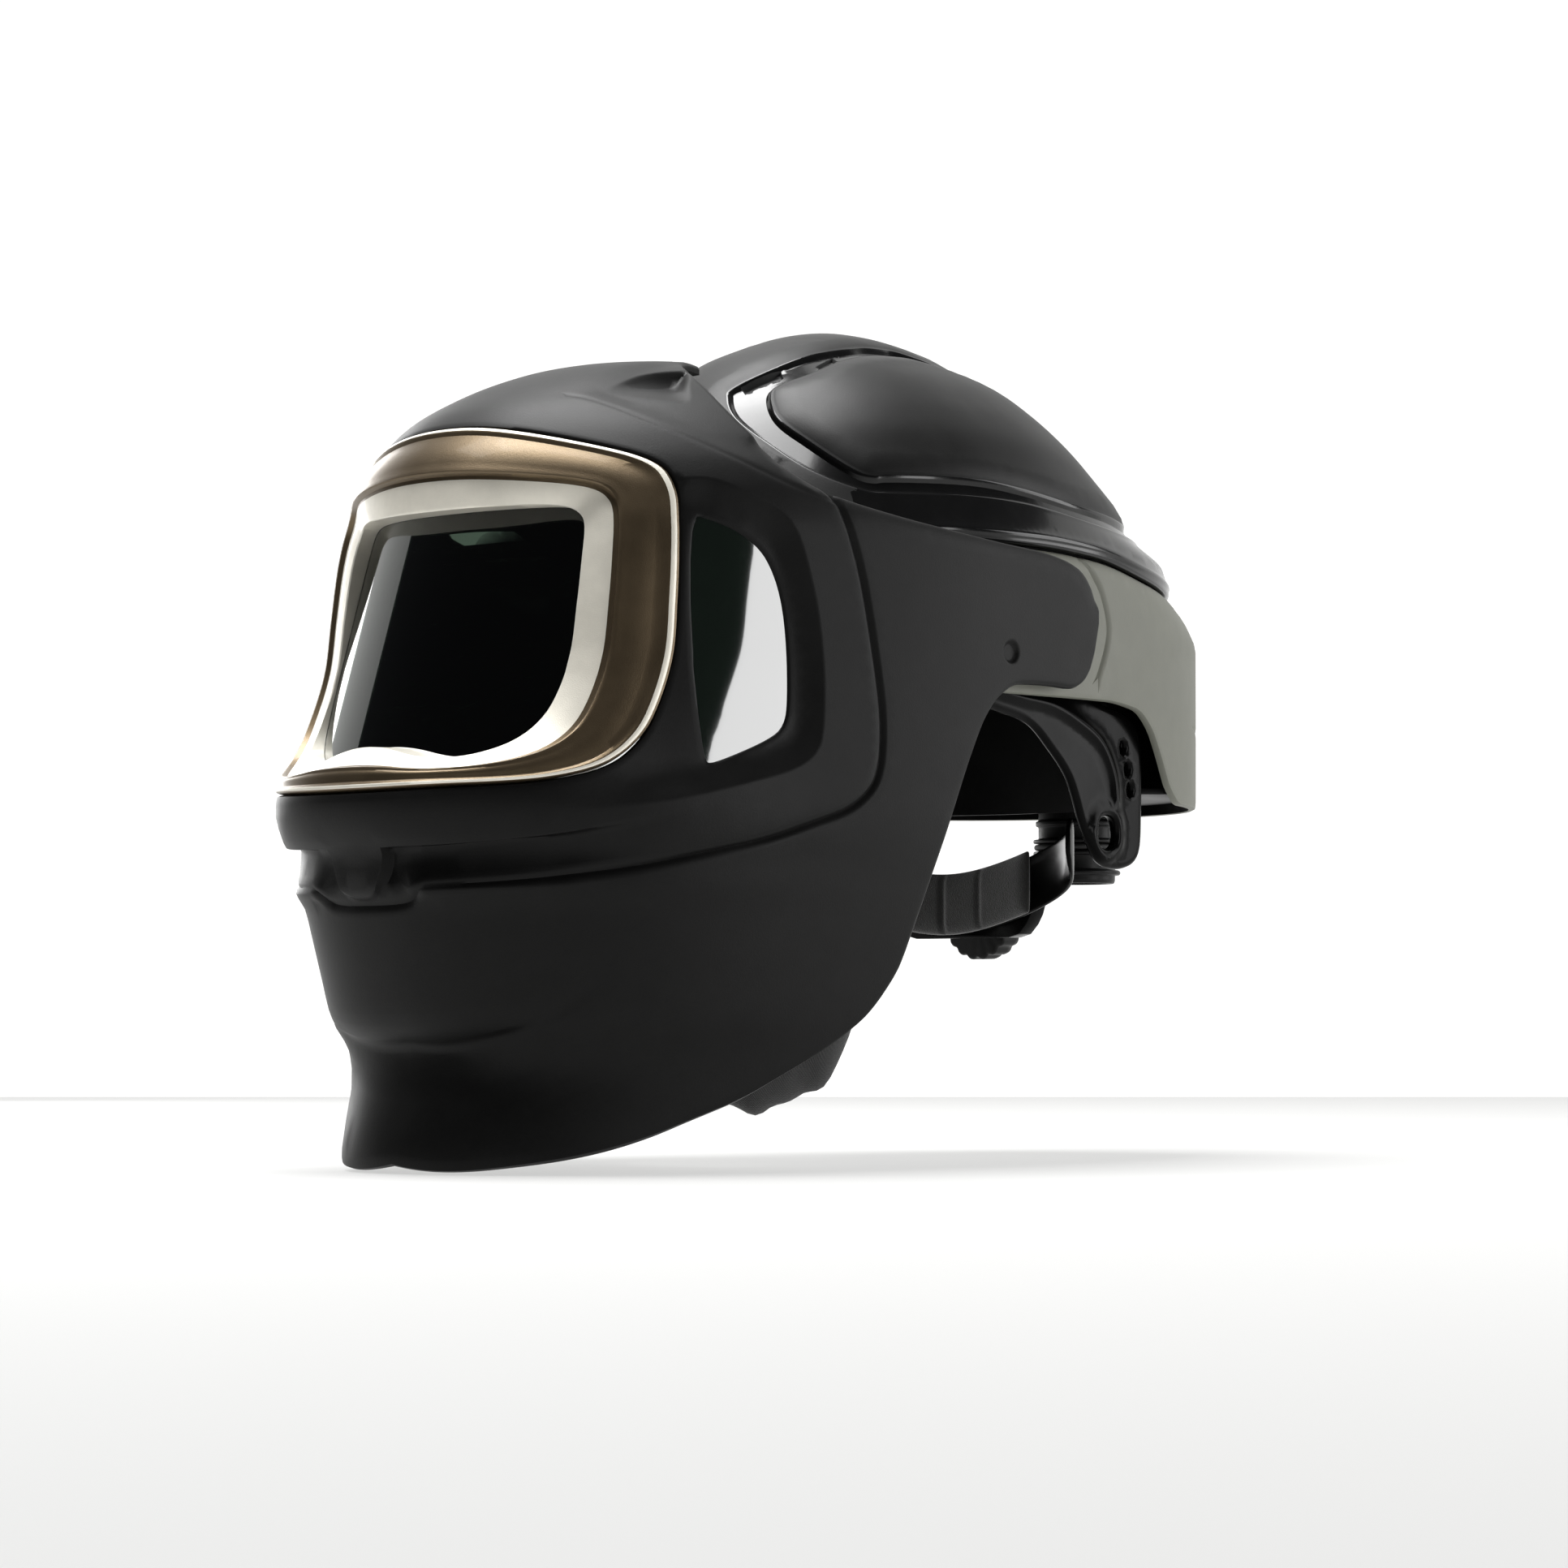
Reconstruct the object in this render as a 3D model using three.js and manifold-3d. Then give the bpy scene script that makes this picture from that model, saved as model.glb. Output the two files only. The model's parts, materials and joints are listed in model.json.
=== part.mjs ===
// Powered air respirator headtop: a hard hat with a rear air duct, a clear
// inner visor with a face seal, and an outer flip-up welding shield.
// Millimetres, +Z up, front of the helmet towards -Y, wearer's left +X.
// The origin is the middle of the wearer's head, midway between the shield arms.
import * as THREE from 'three';
import { mergeVertices } from 'three/addons/utils/BufferGeometryUtils.js';
import Module from 'manifold-3d';

const wasm = await Module();
wasm.setup();

// ---------------------------------------------------------------- dimensions
const PIVOT_Y = 28, PIVOT_Z = 10;      // hinge axis of visor and shield
const SHELL_T = 3;                     // shield wall
const FRONT_N = 2.3;                   // squareness of the horizontal sections
const GAP = 0.35;                      // space left between neighbouring parts
const ARM_OUT = 113;                   // half width over the shield arms
const VISOR_OUT = 107.4, VISOR_T = 2.2; // visor arm, outer half width and wall
const HAT_HALF = 102.5, HAT_T = 3;     // hat half width and wall
const COVER_T = 2.6;                   // rear air cover wall
const RIDGE_R = 119;                   // hat ridge radius about the hinge axis
const SPIGOT_Y = 174.5, SPIGOT_R = 15.5, SPIGOT_RIB_R = 17.8, SPIGOT_BORE = 12.8;
const FRAME_PROUD = 1.0, FRAME_DEPTH = 11;
const ADF_W = 118, ADF_H = 92, ADF_T = 13, ADF_TILT = 17.5; // dark filter cassette
const KNOB_R = 17.5;

const D2R = Math.PI / 180;

// ------------------------------------------------------------------- helpers
// smooth monotone interpolation through a table of [x, y] rows
function table(rows) {
  const n = rows.length, x = rows.map(r => r[0]), y = rows.map(r => r[1]);
  const d = [], m = new Array(n);
  for (let i = 0; i < n - 1; i++) d.push((y[i + 1] - y[i]) / (x[i + 1] - x[i]));
  m[0] = d[0]; m[n - 1] = d[n - 2];
  for (let i = 1; i < n - 1; i++) {
    m[i] = d[i - 1] * d[i] <= 0 ? 0 : 2 * d[i - 1] * d[i] / (d[i - 1] + d[i]);
  }
  return v => {
    if (v <= x[0]) return y[0];
    if (v >= x[n - 1]) return y[n - 1];
    let i = 0;
    while (v > x[i + 1]) i++;
    const h = x[i + 1] - x[i], t = (v - x[i]) / h, t2 = t * t, t3 = t2 * t;
    return (2 * t3 - 3 * t2 + 1) * y[i] + (t3 - 2 * t2 + t) * h * m[i]
      + (-2 * t3 + 3 * t2) * y[i + 1] + (t3 - t2) * h * m[i + 1];
  };
}

function geometry(points, tris) {
  const g = new THREE.BufferGeometry();
  g.setAttribute('position', new THREE.Float32BufferAttribute(points.flat(), 3));
  g.setIndex(tris.flat());
  return g;
}

// closed body between two matching grids of points (rows x columns)
function slab(outer, inner, wrap = false) {
  const R = outer.length, C = outer[0].length, pts = [], tris = [];
  for (const g of [outer, inner]) for (const row of g) for (const p of row) pts.push(p);
  const o = (r, c) => r * C + (c % C), q = (r, c) => R * C + r * C + (c % C);
  const quad = (a, b, c, d) => { tris.push([a, b, c], [a, c, d]); };
  const CC = wrap ? C : C - 1;
  for (let r = 0; r < R - 1; r++) for (let c = 0; c < CC; c++) {
    quad(o(r, c), o(r, c + 1), o(r + 1, c + 1), o(r + 1, c));
    quad(q(r, c), q(r + 1, c), q(r + 1, c + 1), q(r, c + 1));
  }
  for (let c = 0; c < CC; c++) {
    quad(o(0, c), q(0, c), q(0, c + 1), o(0, c + 1));
    quad(o(R - 1, c), o(R - 1, c + 1), q(R - 1, c + 1), q(R - 1, c));
  }
  if (!wrap) for (let r = 0; r < R - 1; r++) {
    quad(o(r, 0), o(r + 1, 0), q(r + 1, 0), q(r, 0));
    quad(o(r, C - 1), q(r, C - 1), q(r + 1, C - 1), o(r + 1, C - 1));
  }
  return outward(geometry(pts, tris));
}

// closed body between two matching rings of points, with flat ends; the
// ends are triangulated in the plane of the two coordinates u and v
function loft(a, b, u = 0, v = 2) {
  const N = a.length, tris = [];
  for (let k = 0; k < N; k++) {
    const j = (k + 1) % N;
    tris.push([k, j, N + j], [k, N + j, N + k]);
  }
  const ring = a.map(p => new THREE.Vector2(p[u], p[v]));
  const ccw = !THREE.ShapeUtils.isClockWise(ring);
  for (const [x, y, z] of THREE.ShapeUtils.triangulateShape(ring, [])) {
    if (ccw) tris.push([z, y, x], [N + x, N + y, N + z]);
    else tris.push([x, y, z], [N + z, N + y, N + x]);
  }
  return outward(geometry([...a, ...b], tris));
}

function volume(g) {
  const p = g.attributes.position, ix = g.index;
  let v = 0;
  const a = new THREE.Vector3(), b = new THREE.Vector3(), c = new THREE.Vector3();
  for (let i = 0; i < ix.count; i += 3) {
    a.fromBufferAttribute(p, ix.getX(i));
    b.fromBufferAttribute(p, ix.getX(i + 1));
    c.fromBufferAttribute(p, ix.getX(i + 2));
    v += a.dot(b.clone().cross(c));
  }
  return v / 6;
}

function outward(g) {
  if (volume(g) < 0) {
    const a = g.index.array;
    for (let i = 0; i < a.length; i += 3) { const t = a[i]; a[i] = a[i + 1]; a[i + 1] = t; }
  }
  return g;
}

function clean(g) {
  const c = g.index ? g.clone() : g.clone();
  c.deleteAttribute('normal');
  c.deleteAttribute('uv');
  const m = mergeVertices(c, 1e-4), a = m.index.array, keep = [];
  for (let i = 0; i < a.length; i += 3) {
    if (a[i] !== a[i + 1] && a[i + 1] !== a[i + 2] && a[i] !== a[i + 2]) keep.push(a[i], a[i + 1], a[i + 2]);
  }
  m.setIndex(keep);
  return m;
}

function solid(g) {
  const c = clean(g);
  return new wasm.Manifold(new wasm.Mesh({
    numProp: 3,
    vertProperties: new Float32Array(c.attributes.position.array),
    triVerts: new Uint32Array(c.index.array),
  }));
}

function toGeometry(m) {
  const mesh = m.getMesh();
  const g = new THREE.BufferGeometry();
  g.setAttribute('position', new THREE.Float32BufferAttribute(Array.from(mesh.vertProperties), 3));
  g.setIndex(Array.from(mesh.triVerts));
  return g;
}

// the largest piece of a solid, for cuts that leave slivers
function main(m) {
  const parts = m.decompose();
  let best = parts[0];
  for (const p of parts) if (p.volume() > best.volume()) best = p;
  return best;
}

function shapeOf(points) {
  return new THREE.Shape(points.map(p => new THREE.Vector2(p[0], p[1])));
}

// prism of an outline drawn in X,Z looking along +Y, from y0 to y1
function prismY(points, y0, y1) {
  const g = new THREE.ExtrudeGeometry(shapeOf(points), { depth: y1 - y0, bevelEnabled: false });
  g.rotateX(Math.PI / 2);          // local z -> -Y
  g.translate(0, y1, 0);
  return g;
}

// prism of an outline drawn in Y,Z, from x0 to x1
function prismX(points, x0, x1) {
  const g = new THREE.ExtrudeGeometry(shapeOf(points), { depth: x1 - x0, bevelEnabled: false });
  g.applyMatrix4(new THREE.Matrix4().set(0, 0, 1, x0, 1, 0, 0, 0, 0, 1, 0, 0, 0, 0, 0, 1));
  return g;
}

function prismZ(points, z0, z1) {
  const g = new THREE.ExtrudeGeometry(shapeOf(points), { depth: z1 - z0, bevelEnabled: false });
  g.translate(0, 0, z0);
  return g;
}

// cylinder along X between x0 and x1
function rodX(r, x0, x1, y, z, seg = 24) {
  const g = new THREE.CylinderGeometry(r, r, x1 - x0, seg);
  g.rotateZ(Math.PI / 2);
  g.translate((x0 + x1) / 2, y, z);
  return g;
}

function mirrorX(g) {
  const c = g.clone();
  c.scale(-1, 1, 1);
  const a = c.index ? c.index.array : null;
  if (a) for (let i = 0; i < a.length; i += 3) { const t = a[i]; a[i] = a[i + 1]; a[i + 1] = t; }
  return c;
}

const round = (pts, r, seg = 3) => {   // rounds the corners of a closed outline
  const out = [], n = pts.length;
  for (let i = 0; i < n; i++) {
    const p = pts[(i + n - 1) % n], c = pts[i], q = pts[(i + 1) % n];
    const a = new THREE.Vector2(p[0] - c[0], p[1] - c[1]), b = new THREE.Vector2(q[0] - c[0], q[1] - c[1]);
    const d = Math.min(r, a.length() * 0.45, b.length() * 0.45);
    a.setLength(d); b.setLength(d);
    for (let k = 0; k <= seg; k++) {
      const t = k / seg, u = (1 - t) * (1 - t), w = t * t;
      out.push([c[0] + a.x * u + b.x * w, c[1] + a.y * u + b.y * w]);
    }
  }
  return out;
};

function group() { return new THREE.Group(); }
const model = new THREE.Group();
function add(name, geo, color, roughness = 0.6, metalness = 0, opacity = 1) {
  const mat = new THREE.MeshStandardMaterial({ color, roughness, metalness, transparent: opacity < 1, opacity });
  const mesh = new THREE.Mesh(clean(geo), mat);
  mesh.name = name;
  model.add(mesh);
  return mesh;
}

// ------------------------------------------------------- star-shaped surfaces
// A surface given by its horizontal sections: half width a(z), front reach
// f(z) and rear reach b(z) from the section's own centre line y = yc.
function section(a, f, b, yc, zTop, n = FRONT_N) {
  return (x, y, z) => {
    if (z >= zTop) return 1;
    const A = a(z), L = y < yc ? f(z) : b(z);
    if (A <= 0 || L <= 0) return 1;
    return Math.pow(Math.abs(x) / A, n) + Math.pow(Math.abs(y - yc) / L, n) - 1;
  };
}

// distance from centre c along the direction of azimuth al (0 = front,
// + = wearer's left) and elevation el to the surface
function reach(surf, c, al, el) {
  const dx = Math.sin(al) * Math.cos(el), dy = -Math.cos(al) * Math.cos(el), dz = Math.sin(el);
  let lo = 0, hi = 420;
  for (let k = 0; k < 48; k++) {
    const m = (lo + hi) / 2;
    if (surf(c[0] + dx * m, c[1] + dy * m, c[2] + dz * m) < 0) lo = m; else hi = m;
  }
  return [c[0] + dx * lo, c[1] + dy * lo, c[2] + dz * lo];
}

// outward unit normal from the two directions of change on the surface
function normalAt(surf, c, al, el) {
  const e = 0.006;
  const a0 = reach(surf, c, al - e, el), a1 = reach(surf, c, al + e, el);
  const b0 = reach(surf, c, al, el - e), b1 = reach(surf, c, al, el + e);
  const u = new THREE.Vector3(a1[0] - a0[0], a1[1] - a0[1], a1[2] - a0[2]);
  const v = new THREE.Vector3(b1[0] - b0[0], b1[1] - b0[1], b1[2] - b0[2]);
  return u.cross(v).normalize();
}

// elevation at which the surface stands at height z
function elevationAt(surf, c, al, z) {
  let lo = -1.5, hi = 1.57;
  for (let k = 0; k < 40; k++) {
    const m = (lo + hi) / 2;
    if (reach(surf, c, al, m)[2] < z) lo = m; else hi = m;
  }
  return (lo + hi) / 2;
}

// grid over the surface between two edges, given in degrees of elevation or,
// with byHeight, in millimetres of height; azimuths past 180 fold back
function patch(surf, c, als, lowOf, highOf, rows, offset, byHeight = false) {
  const grid = [];
  const ends = als.map(al => {
    const f = Math.abs(al) > 180 ? 360 - Math.abs(al) : Math.abs(al);
    if (!byHeight) return [lowOf(f) * D2R, highOf(f) * D2R];
    const h = highOf(f);
    return [elevationAt(surf, c, al * D2R, lowOf(f)), h >= 1000 ? Math.PI / 2 : elevationAt(surf, c, al * D2R, h)];
  });
  for (let r = 0; r <= rows; r++) {
    const row = [];
    for (let k = 0; k < als.length; k++) {
      const al = als[k], [lo, hi] = ends[k];
      const el = lo + (hi - lo) * r / rows;
      const p = reach(surf, c, al * D2R, el);
      const n = el > 1.56 ? new THREE.Vector3(0, 0, 1) : normalAt(surf, c, al * D2R, el);
      row.push([p[0] + n.x * offset, p[1] + n.y * offset, p[2] + n.z * offset]);
    }
    grid.push(row);
  }
  return grid;
}

function spread(limit, steps, ease = 1) {
  const out = [];
  for (let i = -steps; i <= steps; i++) {
    const t = Math.abs(i) / steps;
    out.push(Math.sign(i) * limit * Math.pow(t, ease));
  }
  return out;
}

// --------------------------------------------------------------- outer shield
const O = [0, 0, 0];
const shieldHalf = table([[-190, 92], [-176, 94], [-160, 99], [-147, 102.3], [-120, 106.5], [-90, 110], [-60, 112.5],
  [-30, ARM_OUT], [38, ARM_OUT], [50, 111], [60, 106], [70, 97.5], [80, 86.5], [90, 74], [98, 61.5], [104, 48], [108, 33], [110, 16], [111, 0]]);
const shieldFront = table([[-190, 197], [-182, 199.5], [-174, 198], [-164, 194], [-153, 190.5], [-147, 190.5], [-141, 193.5], [-135, 199],
  [-117, 204.5], [-105, 208], [-94, 211.5], [-88, 216], [-78, 216.5], [-70, 222], [-60, 225.5], [-47, 222], [-30, 214], [-5, 203], [12, 200], [30, 196],
  [48, 189], [61, 183.5], [72, 177], [80, 169], [90, 151.5], [98, 132], [104, 110], [108, 76], [110, 34], [111, 0]]);
const shieldSurf = section(shieldHalf, shieldFront, () => 1e6, 0, 111);
const shieldLow = table([[0, -42.8], [12, -44.2], [28.7, -47.8], [40, -49], [48, -48.9], [56, -48], [63, -45], [67, -40], [71.4, -33], [75, -26.5], [79.3, -18.4],
  [83.4, -11.8], [87.2, -8.2], [92.8, -5.8], [101.7, -5.5], [107, -5.6], [110, -4.4], [112.3, -1.5], [114, 4], [114.6, 7.5]]);
const shieldHigh = table([[0, 65], [6, 64.4], [10, 61], [15, 53.8], [20, 48.5], [29, 39.5], [38, 30], [44, 24.7], [52, 21.4], [61.9, 20.8], [76.8, 20.3], [91, 19.4], [100, 18.5], [106, 17.2],
  [110, 15.6], [112.3, 13.6], [114, 10.6], [114.6, 8.2]]);
const alphaShield = [];
for (const a of [0, 7, 14, 21, 28, 35, 42, 49, 56, 63, 68, 73, 79, 86, 95, 104, 110.5, 114.2]) alphaShield.push(a);
const alphaAll = [...alphaShield.slice(1).reverse().map(v => -v), ...alphaShield];
const SHIELD_ROWS = 16;

// silver frame outline and window opening, seen from the front (X, Z)
const both = half => [...half, ...half.slice(1, -1).reverse().map(p => [-p[0], p[1]])];
const frameOutline = both([[0, 75], [20, 74], [40, 70.5], [60, 65.5], [72, 61.3], [78.5, 56], [83, 46], [85.2, 30], [86, 0], [85.7, -25], [84, -38], [79.5, -47], [71, -51.5],
  [60, -53.5], [40, -54.5], [20, -55.3], [0, -55.5]]);
const apertureOutline = both([[0, 47.5], [30, 47.5], [54, 47.2], [61, 44.5], [64, 38], [65, 20], [65, 0], [64.5, -20], [62.5, -30], [57, -37], [48, -41], [38, -42.3], [26, -41.5], [12, -37.8], [0, -36.6]]);
const grow = (pts, d, cx = 0, cz = 8) => pts.map(([x, z]) => {
  const vx = x - cx, vz = z - cz, l = Math.hypot(vx, vz);
  return [x + vx / l * d, z + vz / l * d];
});
const sideWindow = round([[-139, 43], [-128, 39.5], [-118, 34], [-111, 27], [-106, 14], [-104, -4], [-104.5, -22], [-106, -30], [-111, -35], [-133, -44], [-139, -45]], 2, 1);

{
  const outer = patch(shieldSurf, O, alphaAll, shieldLow, shieldHigh, SHIELD_ROWS, 0);
  const inner = patch(shieldSurf, O, alphaAll, shieldLow, shieldHigh, SHIELD_ROWS, -SHELL_T);
  let s = solid(slab(outer, inner));
  s = s.subtract(solid(prismY(grow(frameOutline, GAP), -260, -120)));
  const win = solid(prismX(sideWindow, 60, 130));
  const winR = solid(mirrorX(clean(prismX(sideWindow, 60, 130))));
  s = s.subtract(win).subtract(winR);
  for (const k of [1, -1]) s = s.subtract(solid(rodX(5.4, k > 0 ? 108 : -111.4, k > 0 ? 111.4 : -108, PIVOT_Y, PIVOT_Z, 24)));
  add('shield_shell', toGeometry(main(s)), 0x1b1b1a, 0.72);
}

// curved outer protection plate behind the front frame
const PLATE_TILT = 17.5 * D2R, PLATE_R = 105, PLATE_Y = -199.6, PLATE_Z = 5;
const tilted = (y, z) => [PLATE_Y + y * Math.cos(PLATE_TILT) + z * Math.sin(PLATE_TILT), PLATE_Z - y * Math.sin(PLATE_TILT) + z * Math.cos(PLATE_TILT)];
function curvedPlate(halfW, zLow, zHigh, front, thick, cols, rows) {
  const grid = depth => {
    const g = [];
    for (let r = 0; r <= rows; r++) {
      const row = [];
      for (let c = 0; c <= cols; c++) {
        const x = halfW * (2 * c / cols - 1), R = PLATE_R - depth;
        const y = front + PLATE_R - Math.sqrt(R * R - x * x);
        const z = zLow + (zHigh - zLow) * r / rows;
        const [Y, Z] = tilted(y, z);
        row.push([x, Y, Z]);
      }
      g.push(row);
    }
    return g;
  };
  return slab(grid(0), grid(thick));
}
// silver front frame: deep bevelled ring that carries the outer plate
{
  const al = spread(56, 8);
  const low = () => -32, high = () => 32;
  const o = patch(shieldSurf, O, al, low, high, 8, FRAME_PROUD);
  const i = patch(shieldSurf, O, al, low, high, 8, -FRAME_DEPTH);
  let s = solid(slab(o, i)).intersect(solid(prismY(frameOutline, -260, -100)));
  // the opening narrows towards the glass
  const plug = loft(grow(apertureOutline, 3.5).map(p => [p[0], -232, p[1]]), grow(apertureOutline, -1.5).map(p => [p[0], -160, p[1]]));
  s = s.subtract(solid(plug));
  // seat for the plate, and room behind it for the filter cassette
  s = s.subtract(solid(curvedPlate(63.5, -51.5, 53.5, 12.65, 36, 10, 1)));
  const room = prismY([[-59.8, -50], [59.8, -50], [59.8, 48], [-59.8, 48]], 0, 70);
  room.rotateX(-PLATE_TILT); room.translate(0, tilted(34, 0)[0], tilted(34, 0)[1]);
  s = s.subtract(solid(room));
  add('front_frame', toGeometry(main(s)), 0x6f6552, 0.32, 0.85);
}


add('outer_plate', curvedPlate(63, -51, 53, 13, 1.6, 10, 1), 0x15181a, 0.08, 0, 0.5);

// dark filter cassette: a moulded box with the filter glass let into it
const adf = group();
adf.position.set(0, tilted(38, -1)[0], tilted(38, -1)[1]);
adf.rotation.x = -PLATE_TILT;
adf.updateMatrixWorld(true);
const inAdf = g => { const c = g.clone(); c.applyMatrix4(adf.matrixWorld); return c; };
const rect = (w, h, cx = 0, cz = 0) => [[cx - w / 2, cz - h / 2], [cx + w / 2, cz - h / 2], [cx + w / 2, cz + h / 2], [cx - w / 2, cz + h / 2]];
{
  let c = solid(prismY(round(rect(ADF_W, ADF_H), 7, 2), 0, ADF_T));
  c = c.subtract(solid(prismY(round(rect(102, 64, 0, 8), 4, 1), -1, 4)));       // front recess
  c = c.subtract(solid(prismY(round(rect(94, 56, 0, 8), 3, 1), 3, ADF_T + 1))); // view
  for (const x of [-30, 0, 30]) c = c.subtract(solid(prismY(rect(14.6, 8.6, x, -35), ADF_T - 5, ADF_T + 1)));
  add('filter_cassette', inAdf(toGeometry(c)), 0x141414, 0.5);
  add('filter_glass', inAdf(prismY(round(rect(101.2, 63.2, 0, 8), 4, 1), 0.4, 3.6)), 0x06100a, 0.05, 0, 0.6);
  add('inner_plate', inAdf(prismY(round(rect(93.2, 55.2, 0, 8), 3, 1), ADF_T - 2.2, ADF_T - 0.8)), 0x9aa6a6, 0.05, 0, 0.35);
  [['button_shade', -30], ['button_sensitivity', 0], ['button_delay', 30]].forEach(([n, x]) => {
    add(n, inAdf(prismY(round(rect(14, 8, x, -35), 2, 2), ADF_T - 3.6, ADF_T + 1.4)), 0x30343a, 0.5);
  });
}

// side windows let into the shield wall
for (const [n, k] of [['side_window_left', 1], ['side_window_right', -1]]) {
  const al = []; for (let a = 36; a <= 60; a += 3) al.push(a * k);
  if (k < 0) al.reverse();
  const o = patch(shieldSurf, O, al, () => -25, () => 25, 8, -0.6), i = patch(shieldSurf, O, al, () => -25, () => 25, 8, -2.4);
  const outline = sideWindow.map(([y, z]) => {
    const vy = y + 121, vz = z + 2, l = Math.hypot(vy, vz);
    return [y - vy / l * 0.6, z - vz / l * 0.6];
  });
  const pr = prismX(outline, 60, 130);
  add(n, toGeometry(main(solid(slab(o, i)).intersect(solid(k > 0 ? pr : mirrorX(clean(pr)))))), 0x0c0f0d, 0.08, 0, 0.6);
}

// plugs that close the small holes in the shield arms' outer faces sit inside the wall
// ------------------------------------------------------------------ hard hat
const HC = [0, PIVOT_Y, PIVOT_Z];
const hatHalf = table([[20, HAT_HALF], [44, 101.5], [54, 97], [64, 92], [73, 86.5], [82.5, 80.5], [92, 72], [100, 63], [107, 53.5], [114, 41.5], [120, 30], [125, 19], [128, 9], [129, 0]]);
const hatFront = table([[20, 117], [38, 114.5], [50, 111], [60, 107], [70, 101.5], [80, 95], [90, 87], [100, 76.5], [108, 66], [115, 54], [121, 39.5], [125, 28.5], [128, 14], [129, 0]]);
const hatRear = table([[20, 150], [30, 150.5], [42, 146], [46, 139], [50, 129], [54, 126.5], [64, 116], [73, 107], [82.5, 97], [92, 87.5], [100, 79], [106, 72], [114, 58.5], [120, 44.5], [125, 28.5], [128, 14], [129, 0]]);
const hatSurf = section(hatHalf, hatFront, hatRear, PIVOT_Y, 129);
const hatLow = table([[0, 38], [50, 38], [60, 40.8], [68, 41.4], [90, 41.4], [110, 40], [130, 35], [145, 32.2], [160, 30.8], [180, 29.8]]);
const ring = []; for (let a = 0; a < 360; a += 12) ring.push(a);
{
  const o = patch(hatSurf, HC, ring, hatLow, () => 1000, 10, 0, true);
  const i = patch(hatSurf, HC, ring, hatLow, () => 1000, 10, -HAT_T, true);
  add('hat_shell', slab(o, i, true), 0x151515, 0.35);
}

// rear air cover, from both hinges round the back
const coverHalf = table([[-60, 103.6], [10, 104], [30, 103.7], [41, 103.2]]);
const coverRear = table([[-60, 166], [-46, 169.5], [12, 169.5], [20, 163.5], [29, 152.5], [41, 147]]);
const coverSurf = section(coverHalf, () => 1e6, coverRear, PIVOT_Y, 60);
const coverLow = table([[60, -14], [90, -14], [112, -14], [122, -16], [127, -22], [131, -33], [135, -45], [140, -50.5], [180, -51]]);
const coverHigh = table([[60, 40.6], [90, 40.4], [110, 39], [130, 34], [145, 31.2], [160, 29.8], [180, 28.8]]);
const rearArc = (from, steps) => { const r = []; for (let k = 0; k <= steps; k++) r.push(from + (360 - 2 * from) * k / steps); return r; };
{
  const al = [68, 79, 90, 102, 114, 121, 126, 130, 134, 140, 148, 158, 169];
  const als = [...al, 180, ...al.slice().reverse().map(v => 360 - v)];
  const o = patch(coverSurf, HC, als, coverLow, coverHigh, 6, 0, true);
  const i = patch(coverSurf, HC, als, coverLow, coverHigh, 6, -COVER_T, true);
  let s = solid(slab(o, i));
  for (const k of [1, -1]) s = s.subtract(solid(rodX(6.3, k > 0 ? 95 : -110, k > 0 ? 110 : -95, PIVOT_Y, PIVOT_Z)));
  add('rear_air_cover', toGeometry(main(s)), 0x76776b, 0.55);
}

// inner wall of the air duct, between the cover and the wearer's head
const wallSurf = section(() => 93.5, () => 1e6, () => 126, PIVOT_Y, 60);
{
  const als = rearArc(128, 14);
  const lo = () => -50, hi = () => 27;
  add('duct_inner_wall', slab(patch(wallSurf, HC, als, lo, hi, 3, 0, true), patch(wallSurf, HC, als, lo, hi, 3, -1.8, true)), 0x1a1a1a, 0.6);
}
// floor of the duct with the hole for the hose spigot
{
  const a = [], b = [];
  for (let k = 0; k <= 20; k++) {
    const al = (138 + 84 * k / 20) * D2R;
    const p = reach(coverSurf, HC, al, elevationAt(coverSurf, HC, al, -44)), q = reach(wallSurf, HC, al, elevationAt(wallSurf, HC, al, -44));
    const cx = p[0], cy = p[1] - PIVOT_Y, l = Math.hypot(cx, cy), qx = q[0], qy = q[1] - PIVOT_Y, m = Math.hypot(qx, qy);
    a.push([cx - cx / l * (COVER_T + 2.4), PIVOT_Y + cy - cy / l * (COVER_T + 2.4)]);
    b.push([qx + qx / m * 0.6, PIVOT_Y + qy + qy / m * 0.6]);
  }
  let s = solid(prismZ([...a, ...b.reverse()], -46.4, -44));
  const hole = new THREE.CylinderGeometry(SPIGOT_BORE + 2.2, SPIGOT_BORE + 2.2, 20, 28);
  hole.rotateX(Math.PI / 2); hole.translate(0, SPIGOT_Y, -46);
  s = s.subtract(solid(hole));
  add('duct_floor', toGeometry(main(s)), 0x1a1a1a, 0.6);
}
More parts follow.
